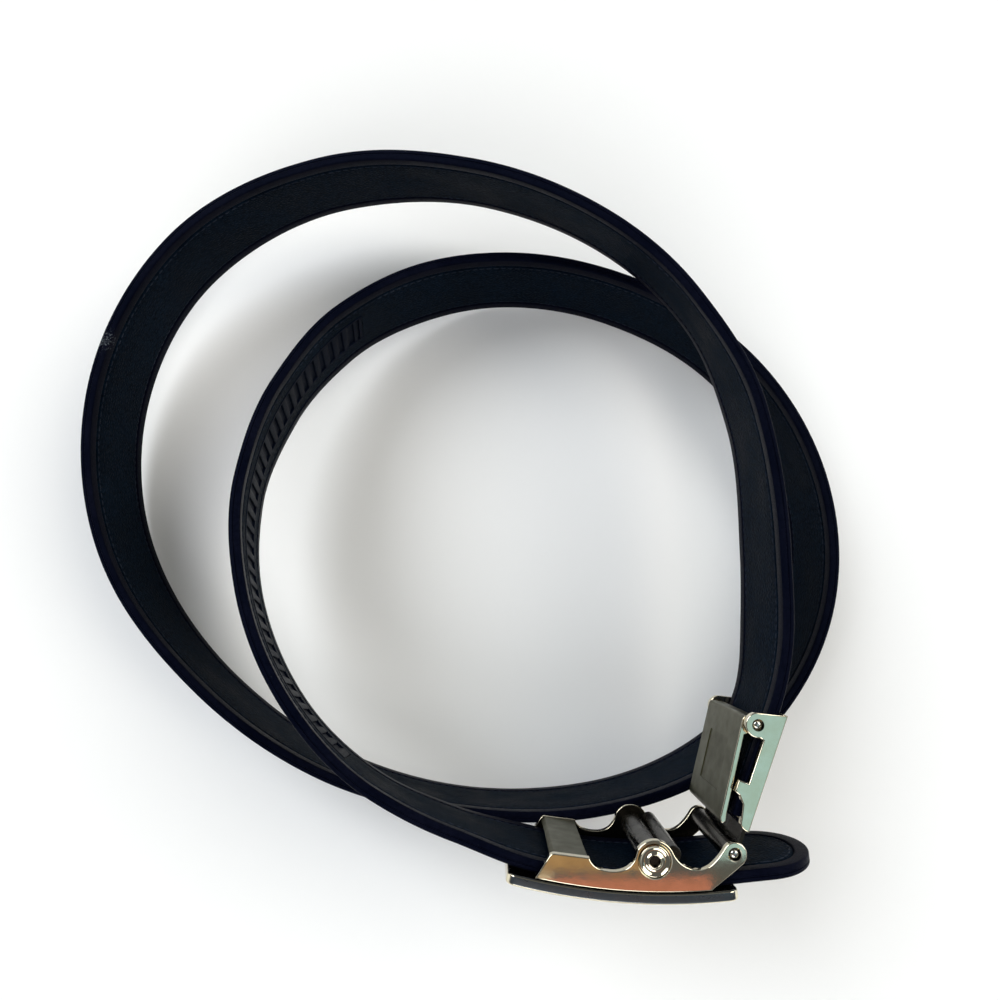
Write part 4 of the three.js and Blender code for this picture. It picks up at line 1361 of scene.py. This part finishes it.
    def pawl(self) -> bpy.types.Object:
        """Makes the pawl: hub, nosed bar and the flat facet along the hub."""
        at, s = self.layout, self.sizes
        x, y = at.pawl_at
        floor = at.on_plate(s.pawl_along + s.nose_reach) + at.strap.thickness / 2 + SEAT_GAP
        half = at.inside / 2
        outline = round_corner((x, y), s.hub, *s.hub_arc, 40)
        outline += [(x + s.nose_reach - s.nose_width - 0.8 * s.nose_heel, floor + s.nose_heel),
                    (x + s.nose_reach - s.nose_width, floor),
                    (x + s.nose_reach, floor + NOSE_SHARE * s.nose_width)]
        outline += round_corner((x + s.bar_reach, y + s.bar_rise), s.bar, *s.bar_arc, 28)
        bm = prism(outline, -half, half, s.pawl_edge)
        flat = x - s.hub + s.facet_depth
        facet = block((x - s.hub - 1, y - s.facet_depth, -s.facet_length / 2),
                      (flat, y + s.facet_width - s.facet_depth, s.facet_length / 2), s.facet_edge)
        bm = carve(bm, [self._bore(at.pawl_at, s.axle_radius + SEAT_GAP), facet], "DIFFERENCE")
        paint(bm, 1, lambda mid, normal: normal.x < -SQUARE_ON and abs(mid.x - flat) < ON_FACE)
        paint(bm, 1, lambda mid, normal: abs(mid.z) > half - s.pawl_edge
              and mid.x > x + s.hub)
        return self._put(bm, "pawl_casting", "pawl", self.finishes.cast, self.finishes.gunmetal,
                         body=Body.PAWL, slot=Slot.DARK)

    def build(self) -> None:
        """Makes the buckle's pieces."""
        self.plate()
        self.frame()
        self.axle()
        self.pawl()
        self._domed_pin(self.layout.hinge_at, "hinge_rod", "hinge_pin")


class Clamp(Fitting):
    """The hinged clamp on the strap's cut end: base, flap and pin."""

    def __init__(self, layout: Layout, finishes: Finishes) -> None:
        """Takes its sizes and place from the layout."""
        super().__init__(layout, layout.clamp, layout.clamp_matrix(), finishes)

    def _rod(self, at: np.ndarray, radius: float, length: float) -> bmesh.types.BMesh:
        """A plain round rod along z."""
        half = length / 2
        bm = lathe([(0.0, -half), (radius, -half), (radius, half), (0.0, half)], 48)
        bmesh.ops.translate(bm, vec=(*at, 0), verts=bm.verts)
        return bm

    def _wall_outline(self) -> Section:
        """Outline of a side wall with its post, notch and pin boss."""
        at, s = self.layout, self.sizes
        blend = at.buckle.boss_blend
        corner = at.buckle.wall_corner
        low, notch, post = -s.set_back, at.clamp_top - s.notch_drop, at.clamp_top + s.post_rise
        post_end = s.notch_start - s.post_width
        shoulder = notch - s.shoulder_fall
        outline = [(s.wall_start, low), (s.length, low)]
        outline += round_corner(tuple(at.clamp_pin), s.boss, blend, 180 + blend, 28)
        outline += [(s.notch_start + s.notch_length, notch), (s.notch_start, notch), (s.notch_start, post),
                    (post_end + corner / 2, post)]
        outline += bowed(outline[-1], (post_end, post - corner), (post_end, (notch + post) / 2), 6)
        outline += [(post_end - s.post_foot, notch - s.shoulder_fall / 4),
                    (s.wall_start + s.shoulder_round, shoulder)]
        outline += bowed(outline[-1], (s.wall_start, shoulder), (s.wall_start, low), 8)[:-1]
        return outline

    def base(self) -> bpy.types.Object:
        """Makes the channel with its knuckle."""
        at, s = self.layout, self.sizes
        wall, edge = at.buckle.wall, at.buckle.edge
        low = -s.set_back
        reach, half = self.inner + wall / 2, at.inside / 2
        solids = [prism(self._wall_outline(), start, start + wall, edge)
                  for start in (-self.outer, self.inner)]
        solids.append(block((s.wall_start + edge, low, -reach), (s.length, low + s.base, reach), s.base_edge))
        solids.append(block((0, low, -half), (s.wall_start + s.base, low + s.base, half)))
        solids.append(self._rod(np.zeros(2), at.buckle.knuckle_radius, at.inside))
        bm = carve(solids[0], solids[1:], "UNION")
        bm = carve(bm, [self._rod(np.zeros(2), at.buckle.pin_radius + SEAT_GAP, 2 * self.outer),
                        self._rod(at.clamp_pin, at.buckle.pin_hole, 3 * self.outer)], "DIFFERENCE")
        paint(bm, 1, lambda mid, normal: mid.x < s.wall_start - 0.3)
        return self._put(bm, "clamp_channel", "clamp_base", self.finishes.gold, self.finishes.cast)

    def flap(self) -> bpy.types.Object:
        """Makes the flap with its eye, sunk panel and curled lip."""
        at, s = self.layout, self.sizes
        length = at.clamp_pin[0] - s.flap_end
        slope = math.atan2(s.flap_fall, length - s.flap_curl)
        curl = s.flap_curl - length
        low = s.flap_crown - s.flap_fall
        lip = low - s.flap_lip
        eye = at.eye
        outline = round_corner((0.0, 0.0), eye, *s.eye_arc, 20)
        outline += bowed(outline[-1], (0.9 * eye, s.flap_crown - s.eye_wall / 4), (0.0, s.flap_crown), 8)
        outline.append((curl, low))
        outline += bowed(outline[-1], (curl - 0.8 * s.flap_curl, low), (-length, lip), 8)
        outline += [(s.lip_thickness - length, lip - s.lip_thickness),
                    (curl + s.lip_thickness, low - s.flap_thickness),
                    (-2 * eye, s.flap_crown - s.flap_thickness - 2 * eye * math.tan(slope))]
        bm = prism(outline, -at.inside / 2, at.inside / 2, s.flap_edge)
        panel = block((-s.panel_length / 2, -s.panel_depth, -s.panel_width / 2),
                      (s.panel_length / 2, s.panel_depth, s.panel_width / 2), s.panel_edge)
        spot = Matrix.Translation((-length / 2, s.flap_crown - length / 2 * math.tan(slope), 0))
        bmesh.ops.transform(panel, matrix=spot @ Matrix.Rotation(slope, 4, "Z"), verts=panel.verts)
        hole = self._rod(np.zeros(2), at.buckle.pin_radius + SEAT_GAP, at.inside + 1)
        bm = carve(bm, [hole, panel], "DIFFERENCE")
        paint(bm, 1, lambda mid, normal: abs(mid.z) > at.inside / 2 - FLAP_SKIN)
        fall = math.tan(slope)
        paint(bm, 2, lambda mid, normal: normal.y > TURNED and abs(mid.z) < s.panel_width / 2
              and mid.y < s.flap_crown + mid.x * fall - s.panel_depth / 2)
        bmesh.ops.translate(bm, vec=(*at.clamp_pin, 0), verts=bm.verts)
        return self._put(bm, "clamp_lid", "clamp_flap", self.finishes.satin, self.finishes.gold,
                         self.finishes.panel, body=Body.FLAP)

    def build(self) -> None:
        """Makes the clamp's pieces."""
        self.base()
        self.flap()
        self._domed_pin(self.layout.clamp_pin, "clamp_rod", "clamp_pin")


@dataclass(frozen=True)
class Studio:
    """A pale floor, soft light and the photograph's view."""

    camera_mm: tuple[float, float, float] = (8.55, -29.48, 308.0)
    tilt_right: float = 0.8
    tilt_up: float = 6.5
    focal_px: float = 820.0
    frame_px: float = 1000.0
    sensor_mm: float = 36.0
    floor_m: float = 60.0
    top_mm: float = 75.7
    card_height: float = 0.9
    sky_band: tuple[float, float] = (0.02, 0.45)
    sky_strength: tuple[float, float] = (1.0, 0.12)

    def camera(self) -> None:
        """Puts the camera where the photograph was taken from."""
        data = bpy.data.cameras.new("view")
        data.sensor_width = self.sensor_mm
        data.lens = self.focal_px / self.frame_px * self.sensor_mm
        data.clip_start, data.clip_end = 0.01, 20.0
        camera = link("view", data)
        look = Vector((math.tan(math.radians(self.tilt_right)), math.tan(math.radians(self.tilt_up)), -1))
        look.normalize()
        right = look.cross(Vector((0, 1, 0))).normalized()
        up = right.cross(look)
        turn = Matrix((right, up, -look)).transposed().to_4x4()
        camera.matrix_world = Matrix.Translation(Vector(self.camera_mm) * MM) @ turn
        bpy.context.scene.camera = camera

    def floor(self) -> None:
        """Lays the floor."""
        bm = bmesh.new()
        bmesh.ops.create_grid(bm, x_segments=1, y_segments=1, size=self.floor_m / 2)
        mesh = bpy.data.meshes.new("floor")
        bm.to_mesh(mesh)
        bm.free()
        nodes = Nodes("pale_floor")
        nodes.shade(Roughness=0.9, Base_Color=(0.93, 0.93, 0.93, 1.0))
        mesh.materials.append(nodes.material)
        floor = link("floor", mesh)

    def card(self, name: str, mirror_mm: tuple[float, float], size: tuple[float, float],
             radiance: float, colour: Colour) -> None:
        """Hangs a soft panel where the camera sees it mirrored in the metal's upper faces.

        Args:
            name: the panel's name.
            mirror_mm: the place on the upper faces that mirrors the panel's middle.
            size: its sides, in metres.
            radiance: how bright it looks.
            colour: its colour.
        """
        eye = Vector(self.camera_mm) * MM
        spot = Vector((*mirror_mm, self.top_mm)) * MM
        away = spot - eye
        away.z = -away.z
        place = spot + away * ((self.card_height - spot.z) / away.z)
        data = bpy.data.lights.new(name, "AREA")
        data.shape = "RECTANGLE"
        data.size, data.size_y = size
        data.energy = radiance * math.pi * size[0] * size[1]
        data.color = colour
        link(name, data).location = place

    def sun(self, name: str, azimuth: float, elevation: float, strength: float, spread: float,
            colour: Colour = (1.0, 1.0, 1.0)) -> None:
        """Adds a soft far light.

        Args:
            name: the light's name.
            azimuth: where it stands round the belt, in degrees from +X.
            elevation: its height above the floor, in degrees.
            strength: how much light it throws.
            spread: its angular width in degrees.
            colour: its colour.
        """
        data = bpy.data.lights.new(name, "SUN")
        data.energy, data.angle, data.color = strength, math.radians(spread), colour
        link(name, data).rotation_euler = (0.0, math.radians(90 - elevation), math.radians(azimuth))

    def build(self) -> None:
        """Makes the floor, lights, sky and camera."""
        self.floor()
        world = bpy.data.worlds.new("soft_sky")
        world.use_nodes = True
        tree = world.node_tree
        sky = tree.nodes["Background"]
        sky.inputs["Color"].default_value = (0.92, 0.96, 1.0, 1.0)
        split = tree.nodes.new("ShaderNodeSeparateXYZ")
        tree.links.new(tree.nodes.new("ShaderNodeTexCoord").outputs["Generated"], split.inputs["Vector"])
        rise = tree.nodes.new("ShaderNodeMapRange")
        rise.interpolation_type = "SMOOTHSTEP"
        tree.links.new(split.outputs["Z"], rise.inputs["Value"])
        ends = ("From Min", "From Max", "To Min", "To Max")
        for name, value in zip(ends, (*self.sky_band, *self.sky_strength)):
            rise.inputs[name].default_value = value
        tree.links.new(rise.outputs["Result"], sky.inputs["Strength"])
        bpy.context.scene.world = world
        bpy.context.scene.view_settings.view_transform = "Standard"
        self.sun("window_left", 140.0, 46.0, 1.9, 38.0, (0.93, 0.97, 1.0))
        self.sun("window_right", 20.0, 46.0, 1.4, 38.0, (1.0, 0.96, 0.86))
        self.sun("window_front", 262.0, 44.0, 1.1, 38.0)
        self.card("mint_panel", (98.0, -70.0), (0.27, 0.284), 0.62, (0.55, 0.92, 1.0))
        self.card("copper_panel", (42.0, -113.2), (0.25, 0.062), 0.46, (1.0, 0.24, 0.08))
        self.card("ochre_panel", (34.0, -101.2), (0.19, 0.028), 0.34, (1.0, 0.50, 0.06))
        self.card("cream_panel", (19.0, -107.5), (0.06, 0.02), 0.9, (1.0, 0.96, 0.70))
        self.camera()


def main() -> None:
    """Builds the belt's pieces and the studio."""
    logging.basicConfig(level=logging.INFO, format="%(name)s %(message)s")
    layout = Layout(StrapSizes(), BuckleSizes(), ClampSizes(), CoilSizes())
    route = StrapRoute(layout)
    finishes = Finishes(route.top_at(SCUFF_TURN))
    LOG.info("strap: %.1f mm from cut end to tip", route.total)
    Strap(layout, route, TrackSizes(), finishes).build()
    Buckle(layout, finishes).build()
    Clamp(layout, finishes).build()
    Studio().build()


if __name__ == "__main__":
    main()
